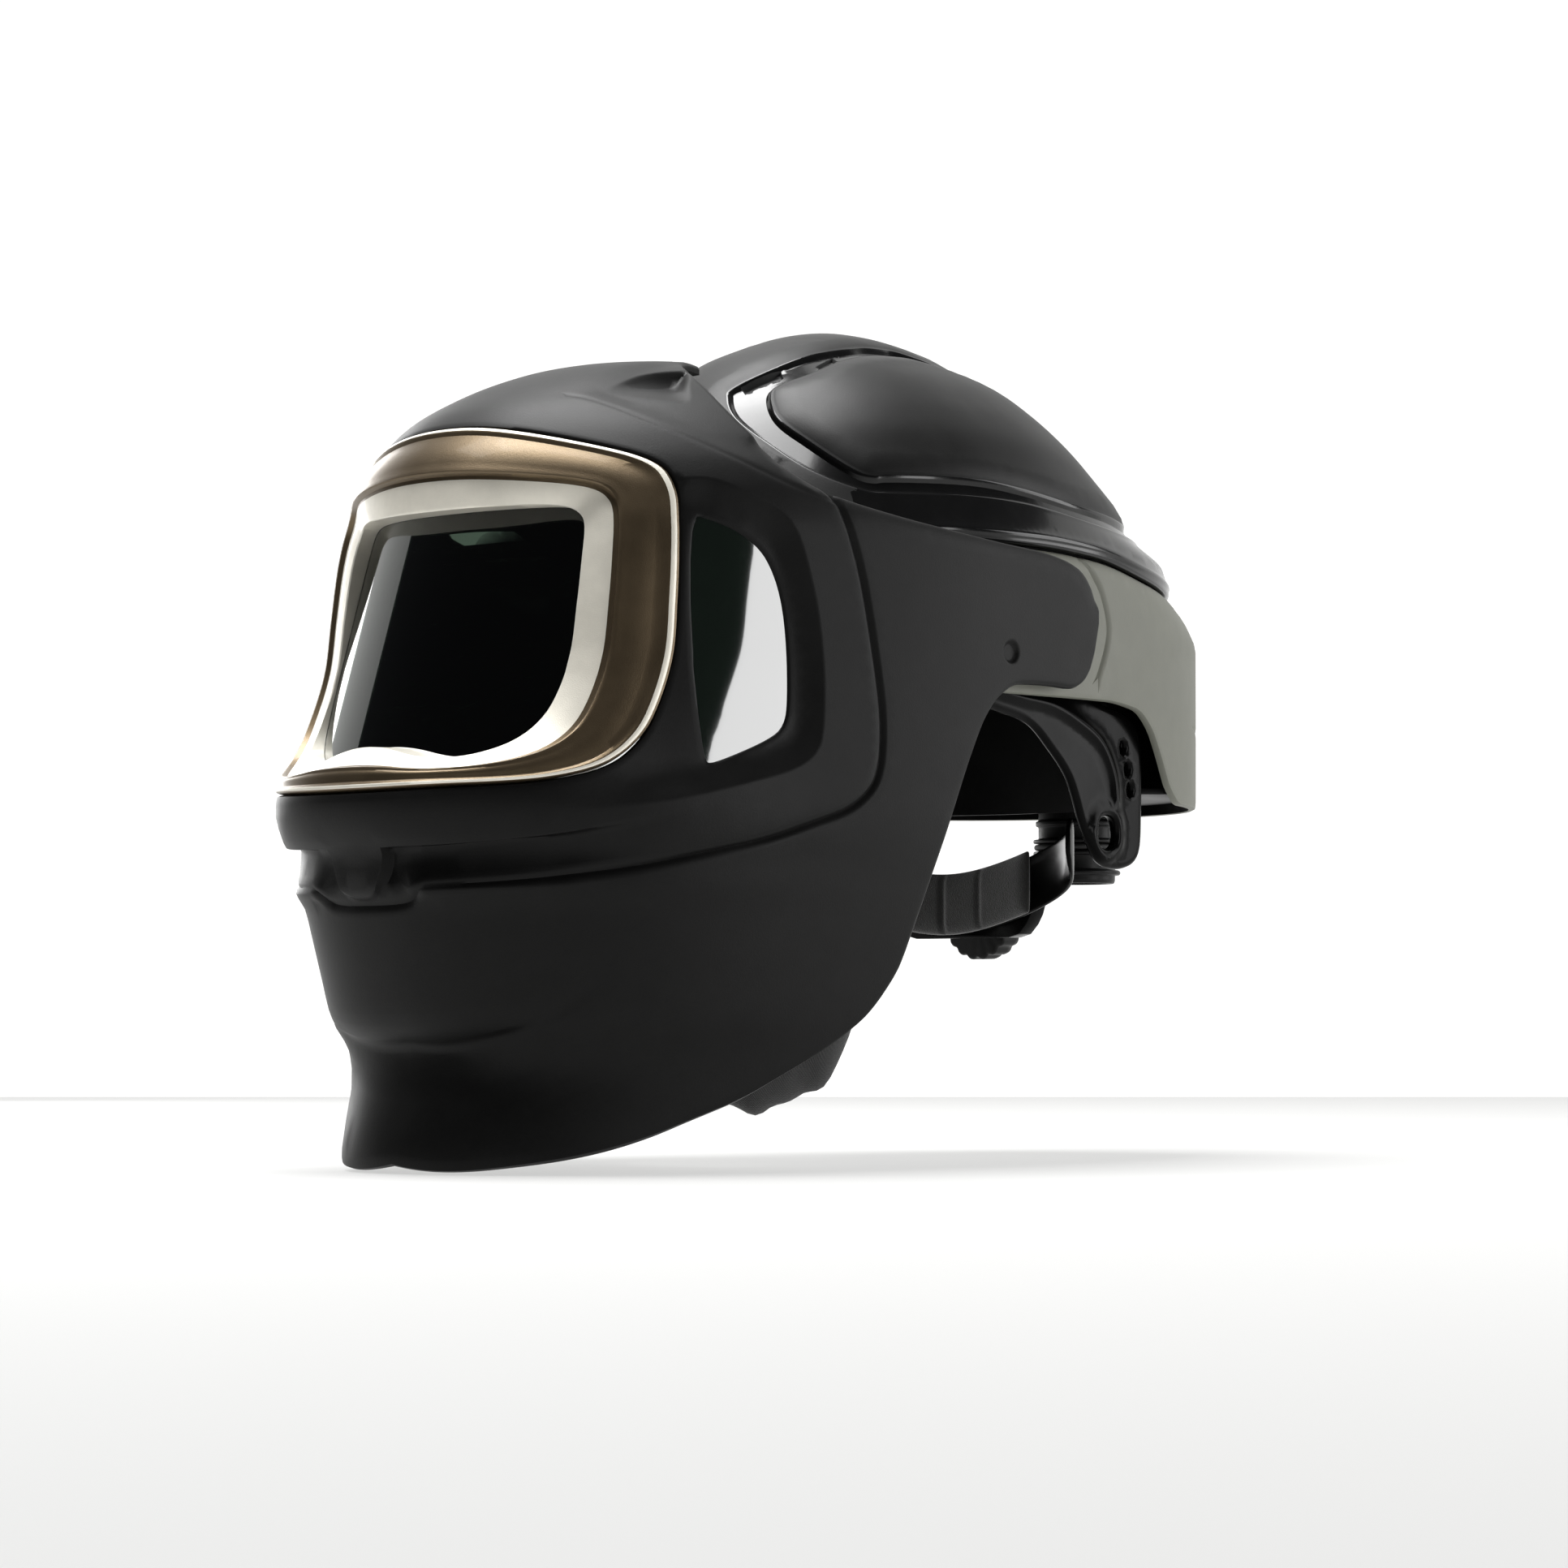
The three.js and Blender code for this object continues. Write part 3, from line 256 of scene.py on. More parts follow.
def triangulate(outer, holes, lines, step, edge_offsets=(0.5, 1.2, 2.4), line_offsets=(0.7, 1.5, 2.6), line_step=1.8):
    """Even triangles over a flat region with holes. Lines are kept as edges, and rows of points run beside edges and lines."""
    loops = [resample(outer, line_step, True)] + [resample(h, line_step, True) for h in holes]
    opens = [resample(l, line_step, False) for l in lines]
    V, E = [], []
    base = 0
    for L in loops:
        n = len(L)
        V += list(L)
        E += [(base + i, base + (i + 1) % n) for i in range(n)]
        base += n
    for L in opens:
        n = len(L)
        V += list(L)
        E += [(base + i, base + i + 1) for i in range(n - 1)]
        base += n
    allseg = [(L, True) for L in loops] + [(L, False) for L in opens]

    def ok(p, gap):
        m = inside(loops[0], p)
        for h in loops[1:]:
            m &= ~inside(h, p)
        p = p[m]
        if not len(p):
            return p
        d = np.full(len(p), 1e9)
        for L, c in allseg:
            d = np.minimum(d, dist(L, p, c))
        return p[d > gap]
    extra = []
    for L, c in allseg:
        t = np.roll(L, -1, 0) - np.roll(L, 1, 0)
        if not c:
            t[0], t[-1] = L[1] - L[0], L[-1] - L[-2]
        t = unit(t)
        nrm = np.stack([t[:, 1], -t[:, 0]], 1)
        for o in (edge_offsets if c else line_offsets):
            for s in (1, -1):
                extra.append(ok(L + nrm * o * s, o * 0.86))
    top = max(list(edge_offsets) + list(line_offsets))
    lo, hi = loops[0].min(0), loops[0].max(0)
    xs = np.arange(lo[0], hi[0], step)
    ys = np.arange(lo[1], hi[1], step * 0.866)
    g = np.array([(x + (step / 2 if j % 2 else 0), y) for j, y in enumerate(ys) for x in xs])
    extra.append(ok(g, top + step * 0.45))
    pts = np.vstack([np.array(V)] + [e for e in extra if len(e)])
    verts, edges, faces, _, _, _ = delaunay_2d_cdt([Vector(p) for p in pts], E, [], 0, 1e-5)
    verts = np.array([tuple(v) for v in verts])
    faces = np.array([f for f in faces if len(f) == 3])
    cen = verts[faces].mean(1)
    keep = inside(loops[0], cen)
    for h in loops[1:]:
        keep &= ~inside(h, cen)
    a, b, c = verts[faces[:, 0]], verts[faces[:, 1]], verts[faces[:, 2]]
    area = (b[:, 0] - a[:, 0]) * (c[:, 1] - a[:, 1]) - (b[:, 1] - a[:, 1]) * (c[:, 0] - a[:, 0])
    keep &= np.abs(area) > 1e-7
    faces = faces[keep]
    area = area[keep]
    faces[area < 0] = faces[area < 0][:, ::-1]
    used = np.unique(faces)
    remap = -np.ones(len(verts), int)
    remap[used] = np.arange(len(used))
    return verts[used], remap[faces], loops


def make(name, verts, faces, mats, index=None, smooth=True, sharp=None):
    me = bpy.data.meshes.new(name)
    me.from_pydata([tuple(v) for v in np.asarray(verts) * 0.001], [], [tuple(int(i) for i in f) for f in faces])
    me.validate()
    ob = bpy.data.objects.new(name, me)
    bpy.context.scene.collection.objects.link(ob)
    for m in mats if isinstance(mats, (list, tuple)) else [mats]:
        me.materials.append(m)
    if index is not None and len(index) == len(me.polygons):
        me.polygons.foreach_set("material_index", np.asarray(index, np.int32))
    if smooth:
        me.polygons.foreach_set("use_smooth", np.ones(len(me.polygons), bool))
        if sharp:
            me.set_sharp_from_angle(angle=sharp * D2R)
    me.update()
    return ob


def fix_normals(ob):
    bm = bmesh.new()
    bm.from_mesh(ob.data)
    bmesh.ops.recalc_face_normals(bm, faces=bm.faces)
    bm.to_mesh(ob.data)
    bm.free()
    ob.data.update()


def closed_shell(name, outer, inner, faces, mats, index=None, sharp=40):
    """outer and inner points share one triangulation; the edges are stitched"""
    N = len(outer)
    F = [tuple(f) for f in faces] + [(f[2] + N, f[1] + N, f[0] + N) for f in faces]
    idx = list(index) if index is not None else [0] * len(faces)
    idx = idx + [0] * len(faces)
    count = {}
    for k, f in enumerate(faces):
        for a, b in ((f[0], f[1]), (f[1], f[2]), (f[2], f[0])):
            key = (min(a, b), max(a, b))
            count.setdefault(key, []).append((a, b, k))
    for key, uses in count.items():
        if len(uses) == 1:
            a, b, k = uses[0]
            F.append((b, a, a + N, b + N))
            idx.append(idx[k])
    return make(name, np.vstack([outer, inner]), F, mats, idx, True, sharp)


# ------------------------------------------------------------ materials
def nodes_of(m):
    nt = m.node_tree
    return nt, nt.nodes, nt.links


def material(name, colour, rough, metal=0.0, grain=900.0, bump=0.06, vary=0.08, wear=0.25, tint=0.12, coat=0.0, coat_rough=0.05, sheen=0.0,
             weave=None, spec=0.5, flakes=0.0, smudge=0.0, wear_width=0.0009, trans=0.0, ior=1.45):
    m = bpy.data.materials.new(name)
    m.use_nodes = True
    nt, N, L = nodes_of(m)
    b = N["Principled BSDF"]
    co = N.new("ShaderNodeTexCoord")

    def noise(scale, detail=4, rough_=0.55):
        n = N.new("ShaderNodeTexNoise")
        n.inputs["Scale"].default_value = scale
        n.inputs["Detail"].default_value = detail
        n.inputs["Roughness"].default_value = rough_
        L.new(co.outputs["Object"], n.inputs["Vector"])
        return n
    cloud = noise(14.0, 5, 0.6)
    fine = noise(grain, 2, 0.5)
    mott = noise(90.0, 4, 0.6)
    # colour: base, clouded a little, lighter on worn edges
    mix = N.new("ShaderNodeMix")
    mix.data_type = "RGBA"
    dark = [c * (1 - tint) for c in colour]
    light = [min(1, c * (1 + tint) + 0.001) for c in colour]
    mix.inputs[6].default_value = (*dark, 1)
    mix.inputs[7].default_value = (*light, 1)
    add = N.new("ShaderNodeMath")
    add.operation = "ADD"
    mul = N.new("ShaderNodeMath")
    mul.operation = "MULTIPLY"
    mul.inputs[1].default_value = 0.5
    L.new(cloud.outputs["Fac"], add.inputs[0])
    L.new(mott.outputs["Fac"], add.inputs[1])
    L.new(add.outputs[0], mul.inputs[0])
    ramp = N.new("ShaderNodeMapRange")
    ramp.inputs["From Min"].default_value = 0.36
    ramp.inputs["From Max"].default_value = 0.64
    L.new(mul.outputs[0], ramp.inputs["Value"])
    L.new(ramp.outputs["Result"], mix.inputs[0])
    col = mix.outputs[2]
    edge = None
    if wear > 0:
        bev = N.new("ShaderNodeBevel")
        bev.samples = 4
        bev.inputs["Radius"].default_value = wear_width
        geo = N.new("ShaderNodeNewGeometry")
        dot = N.new("ShaderNodeVectorMath")
        dot.operation = "DOT_PRODUCT"
        L.new(bev.outputs["Normal"], dot.inputs[0])
        L.new(geo.outputs["Normal"], dot.inputs[1])
        er = N.new("ShaderNodeMapRange")
        er.inputs["From Min"].default_value = 0.995
        er.inputs["From Max"].default_value = 0.86
        L.new(dot.outputs["Value"], er.inputs["Value"])
        em = N.new("ShaderNodeMath")
        em.operation = "MULTIPLY"
        L.new(er.outputs["Result"], em.inputs[0])
        L.new(mott.outputs["Fac"], em.inputs[1])
        es = N.new("ShaderNodeMath")
        es.operation = "MULTIPLY"
        es.inputs[1].default_value = wear
        L.new(em.outputs[0], es.inputs[0])
        edge = es.outputs[0]
        m2 = N.new("ShaderNodeMix")
        m2.data_type = "RGBA"
        m2.inputs[7].default_value = (*[min(1, c * 1.6 + 0.035) for c in colour], 1)
        L.new(col, m2.inputs[6])
        L.new(edge, m2.inputs[0])
        col = m2.outputs[2]
    L.new(col, b.inputs["Base Color"])
    # roughness
    rr = N.new("ShaderNodeMapRange")
    rr.inputs["From Min"].default_value = 0.3
    rr.inputs["From Max"].default_value = 0.7
    rr.inputs["To Min"].default_value = max(0.01, rough - vary)
    rr.inputs["To Max"].default_value = min(1.0, rough + vary)
    src = cloud.outputs["Fac"]
    if smudge > 0:
        sm = noise(38.0, 6, 0.7)
        sa = N.new("ShaderNodeMath")
        sa.operation = "MULTIPLY_ADD"
        sa.inputs[1].default_value = smudge
        L.new(sm.outputs["Fac"], sa.inputs[0])
        L.new(cloud.outputs["Fac"], sa.inputs[2])
        src = sa.outputs[0]
    L.new(src, rr.inputs["Value"])
    L.new(rr.outputs["Result"], b.inputs["Roughness"])
    # bump: grain, or a weave
    bp = N.new("ShaderNodeBump")
    bp.inputs["Strength"].default_value = bump
    bp.inputs["Distance"].default_value = 0.0004
    if weave:
        w1 = N.new("ShaderNodeTexWave")
        w1.inputs["Scale"].default_value = weave
        w1.inputs["Distortion"].default_value = 0.4
        w1.bands_direction = "Z"
        w2 = N.new("ShaderNodeTexWave")
        w2.inputs["Scale"].default_value = weave
        w2.inputs["Distortion"].default_value = 0.4
        w2.bands_direction = "X"
        w3 = N.new("ShaderNodeTexWave")
        w3.inputs["Scale"].default_value = weave
        w3.bands_direction = "Y"
        for w in (w1, w2, w3):
            L.new(co.outputs["Object"], w.inputs["Vector"])
        ma = N.new("ShaderNodeMath")
        ma.operation = "MAXIMUM"
        L.new(w1.outputs["Fac"], ma.inputs[0])
        L.new(w2.outputs["Fac"], ma.inputs[1])
        mb = N.new("ShaderNodeMath")
        mb.operation = "ADD"
        L.new(ma.outputs[0], mb.inputs[0])
        L.new(w3.outputs["Fac"], mb.inputs[1])
        mc = N.new("ShaderNodeMath")
        mc.operation = "ADD"
        L.new(mb.outputs[0], mc.inputs[0])
        L.new(fine.outputs["Fac"], mc.inputs[1])
        L.new(mc.outputs[0], bp.inputs["Height"])
    else:
        hm = N.new("ShaderNodeMath")
        hm.operation = "MULTIPLY_ADD"
        hm.inputs[1].default_value = 0.35
        L.new(mott.outputs["Fac"], hm.inputs[0])
        L.new(fine.outputs["Fac"], hm.inputs[2])
        L.new(hm.outputs[0], bp.inputs["Height"])
    L.new(bp.outputs["Normal"], b.inputs["Normal"])
    b.inputs["Metallic"].default_value = metal
    b.inputs["Specular IOR Level"].default_value = spec
    b.inputs["IOR"].default_value = ior
    b.inputs["Coat Weight"].default_value = coat
    b.inputs["Coat Roughness"].default_value = coat_rough
    b.inputs["Sheen Weight"].default_value = sheen
    b.inputs["Transmission Weight"].default_value = trans
    return m


M = {
    "shield": material("moulded_black_matt", (0.0032, 0.0032, 0.0031), 0.43, spec=0.18, bump=0.10, grain=1500, vary=0.05, wear=0.30, smudge=0.3),
    "shield_in": material("moulded_black_inside", (0.011, 0.011, 0.011), 0.62, bump=0.12, grain=1200, vary=0.06, wear=0.1),
    "frame": material("metallic_bronze_paint", (0.125, 0.092, 0.055), 0.34, metal=0.85, bump=0.16, grain=2600, vary=0.05, wear=0.5, tint=0.10, coat=0.12, coat_rough=0.12, smudge=0.3),
    # lighter copy of the bronze frame paint for the outer bead and the inner bevel: a painted highlight
    "frame_painted_highlight": material("frame_paint_painted_highlight", (0.80, 0.765, 0.67), 0.40, metal=0.30, bump=0.16, grain=2600, vary=0.05, wear=0.5, tint=0.08, coat=0.35, coat_rough=0.12, smudge=0.3),
    "lens": material("clear_lens", (0.95, 0.97, 0.96), 0.015, bump=0.004, grain=60, vary=0.01, wear=0, tint=0.02, trans=1.0, ior=1.49, smudge=0.5),
    "plate": material("plate_over_dark_filter", (0.05, 0.075, 0.055), 0.015, bump=0.004, grain=60, vary=0.01, wear=0, tint=0.02, trans=1.0, ior=1.49, smudge=0.5),
    "filter": material("filter_glass_dark", (0.0025, 0.0055, 0.0035), 0.035, bump=0.004, grain=60, vary=0.02, wear=0, coat=0.6, coat_rough=0.02, smudge=0.6),
    "window": material("window_dark_green", (0.0012, 0.0048, 0.0018), 0.03, bump=0.004, grain=60, vary=0.02, wear=0, coat=1.0, coat_rough=0.015, smudge=0.6, ior=1.75),
    "cassette": material("cassette_black", (0.012, 0.012, 0.012), 0.42, bump=0.1, grain=1600, wear=0.2),
    "button": material("button_grey", (0.05, 0.055, 0.062), 0.48, bump=0.1, grain=1500, wear=0.3),
    "hat": material("hat_matt_black", (0.0046, 0.0046, 0.0045), 0.42, spec=0.24, bump=0.09, grain=1700, vary=0.05, wear=0.25, smudge=0.3),
    "hat_gloss": material("hat_gloss_black", (0.004, 0.004, 0.004), 0.13, spec=0.35, bump=0.012, grain=500, vary=0.035, wear=0.12, coat=0.08, coat_rough=0.04, smudge=0.4),
    # darker, rougher patch for the vents: painted shade of the vent openings
    "vent": material("vent_painted_shade", (0.003, 0.003, 0.003), 0.6, bump=0.1, grain=900, wear=0),
    "cover": material("warm_grey_plastic", (0.150, 0.153, 0.126), 0.50, bump=0.10, grain=1500, vary=0.06, wear=0.35, tint=0.05, smudge=0.3),
    "inner": material("inner_black_plastic", (0.004, 0.004, 0.004), 0.42, spec=0.2, bump=0.1, grain=1300, wear=0.15),
    "arm": material("gloss_black_arm", (0.0012, 0.0012, 0.0012), 0.16, spec=0.06, bump=0.015, grain=500, vary=0.05, wear=0.12, coat=0.0, coat_rough=0.05, smudge=0.4),
    "strap": material("webbing_black", (0.014, 0.014, 0.015), 0.78, bump=0.5, weave=520, sheen=0.3, wear=0),
    "pad": material("towelling_charcoal", (0.009, 0.0088, 0.008), 0.95, bump=0.8, grain=2200, sheen=0.6, wear=0, tint=0.3),
    "seal": material("woven_black_fabric", (0.006, 0.006, 0.006), 0.55, bump=0.6, weave=700, sheen=0.15, wear=0, tint=0.2),
    "rubber": material("rubber_black", (0.010, 0.010, 0.010), 0.66, bump=0.1, grain=900, wear=0.1),
    "steel": material("pin_steel", (0.45, 0.45, 0.46), 0.28, metal=1.0, bump=0.05, grain=1200, wear=0.2),
}


def finish_piece(ob, body, slot, *nodes):
    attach(ob, body)
    if nodes:
        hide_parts(*nodes)
    return ob


# ------------------------------------------------------------ mapping of points
def front_y(surf_half, surf_front, x, z, n=2.3):
    return -surf_front(z) * np.power(np.clip(1 - (np.abs(x) / surf_half(z)) ** n, 0, 1), 1 / n)


def angles(p, c):
    q = np.asarray(p, float) - np.array(c)
    return np.stack([np.degrees(np.arctan2(q[:, 0], -q[:, 1])), np.degrees(np.arcsin(q[:, 2] / np.linalg.norm(q, axis=1)))], 1)


def outline_front(pts, half, front, c=O):
    p = np.asarray(pts, float)
    y = front_y(half, front, p[:, 0], p[:, 1])
    return angles(np.stack([p[:, 0], y, p[:, 1]], 1), c)


def outline_side(pts, half, front, side=1, n=2.3, c=O):
    p = np.asarray(pts, float)
    x = half(p[:, 1]) * np.power(np.clip(1 - (np.abs(p[:, 0]) / front(p[:, 1])) ** n, 0, 1), 1 / n)
    return angles(np.stack([x * side, p[:, 0], p[:, 1]], 1), c)


def mirrored(pts):
    p = np.array(pts, float)
    p[:, 0] *= -1
    return p


K = 2.6   # flat millimetres per degree


# ------------------------------------------------------------ shield shell
def build_shield():
    al = np.concatenate([np.linspace(0, 60, 41), np.linspace(61.5, 114.4, 48)])
    low = np.stack([al, shieldLow(al)], 1)
    high = np.stack([al, shieldHigh(al)], 1)
    half = np.vstack([low, high[::-1]])                 # right half, from bottom centre round to top centre
    left = mirrored(half)[::-1]
    outline = np.vstack([half[:-1], left[:-1]])
    hole = outline_front(chaikin(np.array(frameOutline), 2), shieldHalf, shieldFront)
    win = chaikin(sideWindow, 2)
    winL, winR = outline_side(win, shieldHalf, shieldFront, 1), outline_side(win, shieldHalf, shieldFront, -1)
    split = smooth_line([(49.8, 21.9), (51.6, 19.6), (53.6, 15.0), (55.5, 8.6), (57.4, -1.3), (58.7, -10.2), (58.8, -16.2), (58.0, -20.2), (56.1, -22.4), (52.5, -23.9),
                         (46.8, -24.5), (41.3, -24.9), (36.4, -24.8), (28.0, -24.3), (20.8, -23.5), (13.8, -22.8), (9.0, -22.5), (7.4, -22.6), (5.4, -24.0), (0.0, -24.2)])
    crease = smooth_line([(13.0, 29.6), (16.3, 29.2), (24.4, 26.9), (35.5, 23.6), (44.5, 20.9), (50.8, 19.9)])
    frontloop = smooth_line([(30.6, 18.7), (34.0, 19.3), (39.1, 18.2), (42.9, 16.7), (45.2, 13.9), (46.9, 8.6), (48.1, 3.0), (48.9, -5.0), (48.7, -13.1), (47.4, -16.1),
                             (44.5, -17.5), (40.3, -18.0), (32.2, -18.3), (26.0, -17.9), (20.5, -17.2)])
    rec_up = smooth_line([(3.6, -18.9), (6.3, -18.9), (14.1, -19.2), (21.1, -19.5), (28.3, -19.5), (33.0, -19.6)])
    tongue = smooth_line([(3.6, -18.9), (3.2, -20.6), (2.2, -22.6), (1.2, -23.2), (0.0, -23.3)], per=5)
    scoop = smooth_line([(16.3, 30.9), (16.6, 35.5), (18.2, 41.0), (22.6, 45.2), (25.0, 42.5), (26.6, 38.2), (28.2, 33.4), (24.5, 31.8), (20.0, 31.2)], closed=True, per=5)
    chin = smooth_line([(0.0, -36.7), (5.5, -36.9), (12.3, -36.5), (18.0, -35.4), (24.0, -33.2)])
    lines = []
    for s in (1, -1):
        f = (lambda p: p) if s == 1 else mirrored
        lines += [f(split), f(crease), f(frontloop), f(rec_up), f(tongue), f(np.vstack([scoop, scoop[:1]])), f(chin)]
    for s in (1, -1):
        for rr in (3.0, 4.6):
            t = np.linspace(0, 2 * math.pi, 29)
            lines.append(angles(np.stack([np.full(29, 113.0 * s), rr * np.cos(t), rr * np.sin(t)], 1), O))
    flat = [np.asarray(l) * K for l in lines]
    # the lines that end on each other share their last points
    v, f, loops = triangulate(outline * K, [hole * K, winL * K, winR * K], flat, 3.4)
    a, e = v[:, 0] / K, v[:, 1] / K
    P = reach(shieldSurf, O, a * D2R, e * D2R)
    Nn = normals(shieldSurf, O, a * D2R, e * D2R)
    A = np.abs(a)
    half_pts = np.stack([A, e], 1)
    Q = P.copy()
    Q[:, 0] = np.abs(Q[:, 0])

    def to3(line):
        l = np.asarray(line, float)
        return reach(shieldSurf, O, l[:, 0] * D2R, l[:, 1] * D2R)
    disp = np.zeros(len(v))
    # split line between the front moulding and the side arm
    d_split = dist(to3(split), Q)
    disp -= 1.5 * np.exp(-(d_split / 1.15) ** 2)
    # chamfer around each side window
    frame_side = outline_front([[84, 46], [86, 30], [86.5, 0], [86, -25], [84.5, -42]], shieldHalf, shieldFront)
    loop_poly = np.vstack([frontloop, [[20.5, 17.5]]])
    ins = inside(loop_poly, half_pts)
    d_loop = dist(to3(frontloop), Q)
    fade_w = sstep(A, 20.5, 31)
    disp -= np.where(ins, 4.2 * np.clip(d_loop / 9.0, 0, 1) * fade_w, 0)
    # recess under the front frame, from the centre tongue out to the side
    rec_poly = np.vstack([rec_up, [[36.4, -24.8]], split[np.argmin(np.abs(split[:, 0] - 36.4) + 50 * (split[:, 1] > -20)):], tongue[::-1][:-1]])
    insr = inside(rec_poly, half_pts)
    du = np.minimum(dist(to3(rec_up), Q), dist(to3(tongue), Q))
    dl = d_split
    fade = 1 - sstep(A, 14, 33)
    disp -= np.where(insr, 4.2 * sstep(du, 0, 1.8) * np.clip(dl / 11.0, 0, 1) ** 0.8 * fade, 0)
    # crease from the brow back over the ear: the crown side drops away from it
    d_cr = dist(to3(crease), Q)
    side = e < np.interp(A, [c[0] for c in crease], [c[1] for c in crease])
    disp += np.where(~side, -0.14 * np.minimum(d_cr, 9), 0) * sstep(A, 12, 18) * (1 - sstep(A, 47, 52))
    disp -= 0.35 * np.exp(-(d_cr / 0.9) ** 2)
    # air scoop in the crown
    inss = inside(scoop, half_pts)
    d_sc = dist(to3(np.vstack([scoop, scoop[:1]])), Q)
    disp -= np.where(inss, 5.0 * sstep(d_sc, 0, 5.5) * sstep(e, 31, 42), 0)
        # chin crease
    d_ch = dist(to3(chin), Q)
    disp -= 1.4 * np.exp(-(d_ch / 3.2) ** 2) * (1 - sstep(A, 12, 24))
    # small plug on each hinge arm
    plug = np.array([[113.0, 0.0, 0.0]])
    dp = np.linalg.norm(Q - plug, axis=1)
    disp -= 1.5 * (1 - sstep(dp, 3.0, 4.6))
    # rounded edges
    edge3 = [to3(l / K) for l in loops]
    de = np.full(len(v), 1e9)
    for L3 in edge3:
        de = np.minimum(de, dist(L3, P, True))
    r = 1.5
    disp -= np.where(de < r, r - np.sqrt(np.maximum(r * r - (r - de) ** 2, 0)), 0)
    # wider chamfer along the upper edge, where the arm runs beside the hat
    top3 = to3(np.stack([np.linspace(40, 114, 120), shieldHigh(np.linspace(40, 114, 120))], 1))
    dt = dist(top3, Q)
    disp -= np.where(dt < 5.0, (5.0 - dt) * 0.34, 0)
    outer = P + Nn * disp[:, None]
    inn = np.minimum(-3.0, disp - 1.7)
    inner = P + Nn * inn[:, None]
    N = len(outer)
    ob = closed_shell("shield_shell_fine", outer, inner, f, [M["shield"], M["shield_in"]], sharp=48)
    idx = np.zeros(len(ob.data.polygons), np.int32)
    idx[len(f):2 * len(f)] = 1
    ob.data.polygons.foreach_set("material_index", idx)
    finish_piece(ob, "shield", "shield_black", "shield_shell")
    # side windows
    for s, nm in ((1, "left"), (-1, "right")):
        w = (winL if s == 1 else winR) * K
        c = w.mean(0)
        w2 = c + (w - c) * 1.012
        vv, ff, lp = triangulate(w2, [], [], 3.0)
        aa, ee = vv[:, 0] / K, vv[:, 1] / K
        PP = reach(shieldSurf, O, aa * D2R, ee * D2R)
        NN = normals(shieldSurf, O, aa * D2R, ee * D2R, 0.03)
        wob = closed_shell("side_window_%s_fine" % nm, PP - NN * 5.0, PP - NN * 6.8, ff, [M["window"]], sharp=30)
        finish_piece(wob, "shield", "window_dark", "side_window_" + nm)
    return ob


build_shield()


# ------------------------------------------------------------ front frame
TILT = 17.5 * D2R
PLATE_R, PLATE_Y, PLATE_Z = 105.0, -199.6, 5.0


def polar(outline, c, th):
    """distance from c to the outline along each angle"""
    p = np.asarray(outline, float) - c
    out = np.zeros(len(th))
    q = np.roll(p, -1, 0)
    for i, t in enumerate(th):
        d = np.array([math.cos(t), math.sin(t)])
        n = np.array([-d[1], d[0]])
        a, b = p @ n, q @ n
        hit = (a > 0) != (b > 0)
        s = a[hit] / (a[hit] - b[hit])
        pt = p[hit] + (q[hit] - p[hit]) * s[:, None]
        r = pt @ d
        out[i] = r[r > 0].max()
    return out


def plate_y(x, z, front=13.0):
    y = front + PLATE_R - np.sqrt(np.maximum(PLATE_R ** 2 - x * x, 1))
    zz = (z - PLATE_Z + y * math.sin(TILT)) / math.cos(TILT)
    return PLATE_Y + y * math.cos(TILT) + zz * math.sin(TILT)


def surf_point(x, z, h):
    y = front_y(shieldHalf, shieldFront, x, z)
    a = np.stack([x, y, z], -1)
    ang = angles(a.reshape(-1, 3), O) * D2R
    n = normals(shieldSurf, O, ang[:, 0], ang[:, 1]).reshape(a.shape)
    return a + n * np.asarray(h)[..., None]


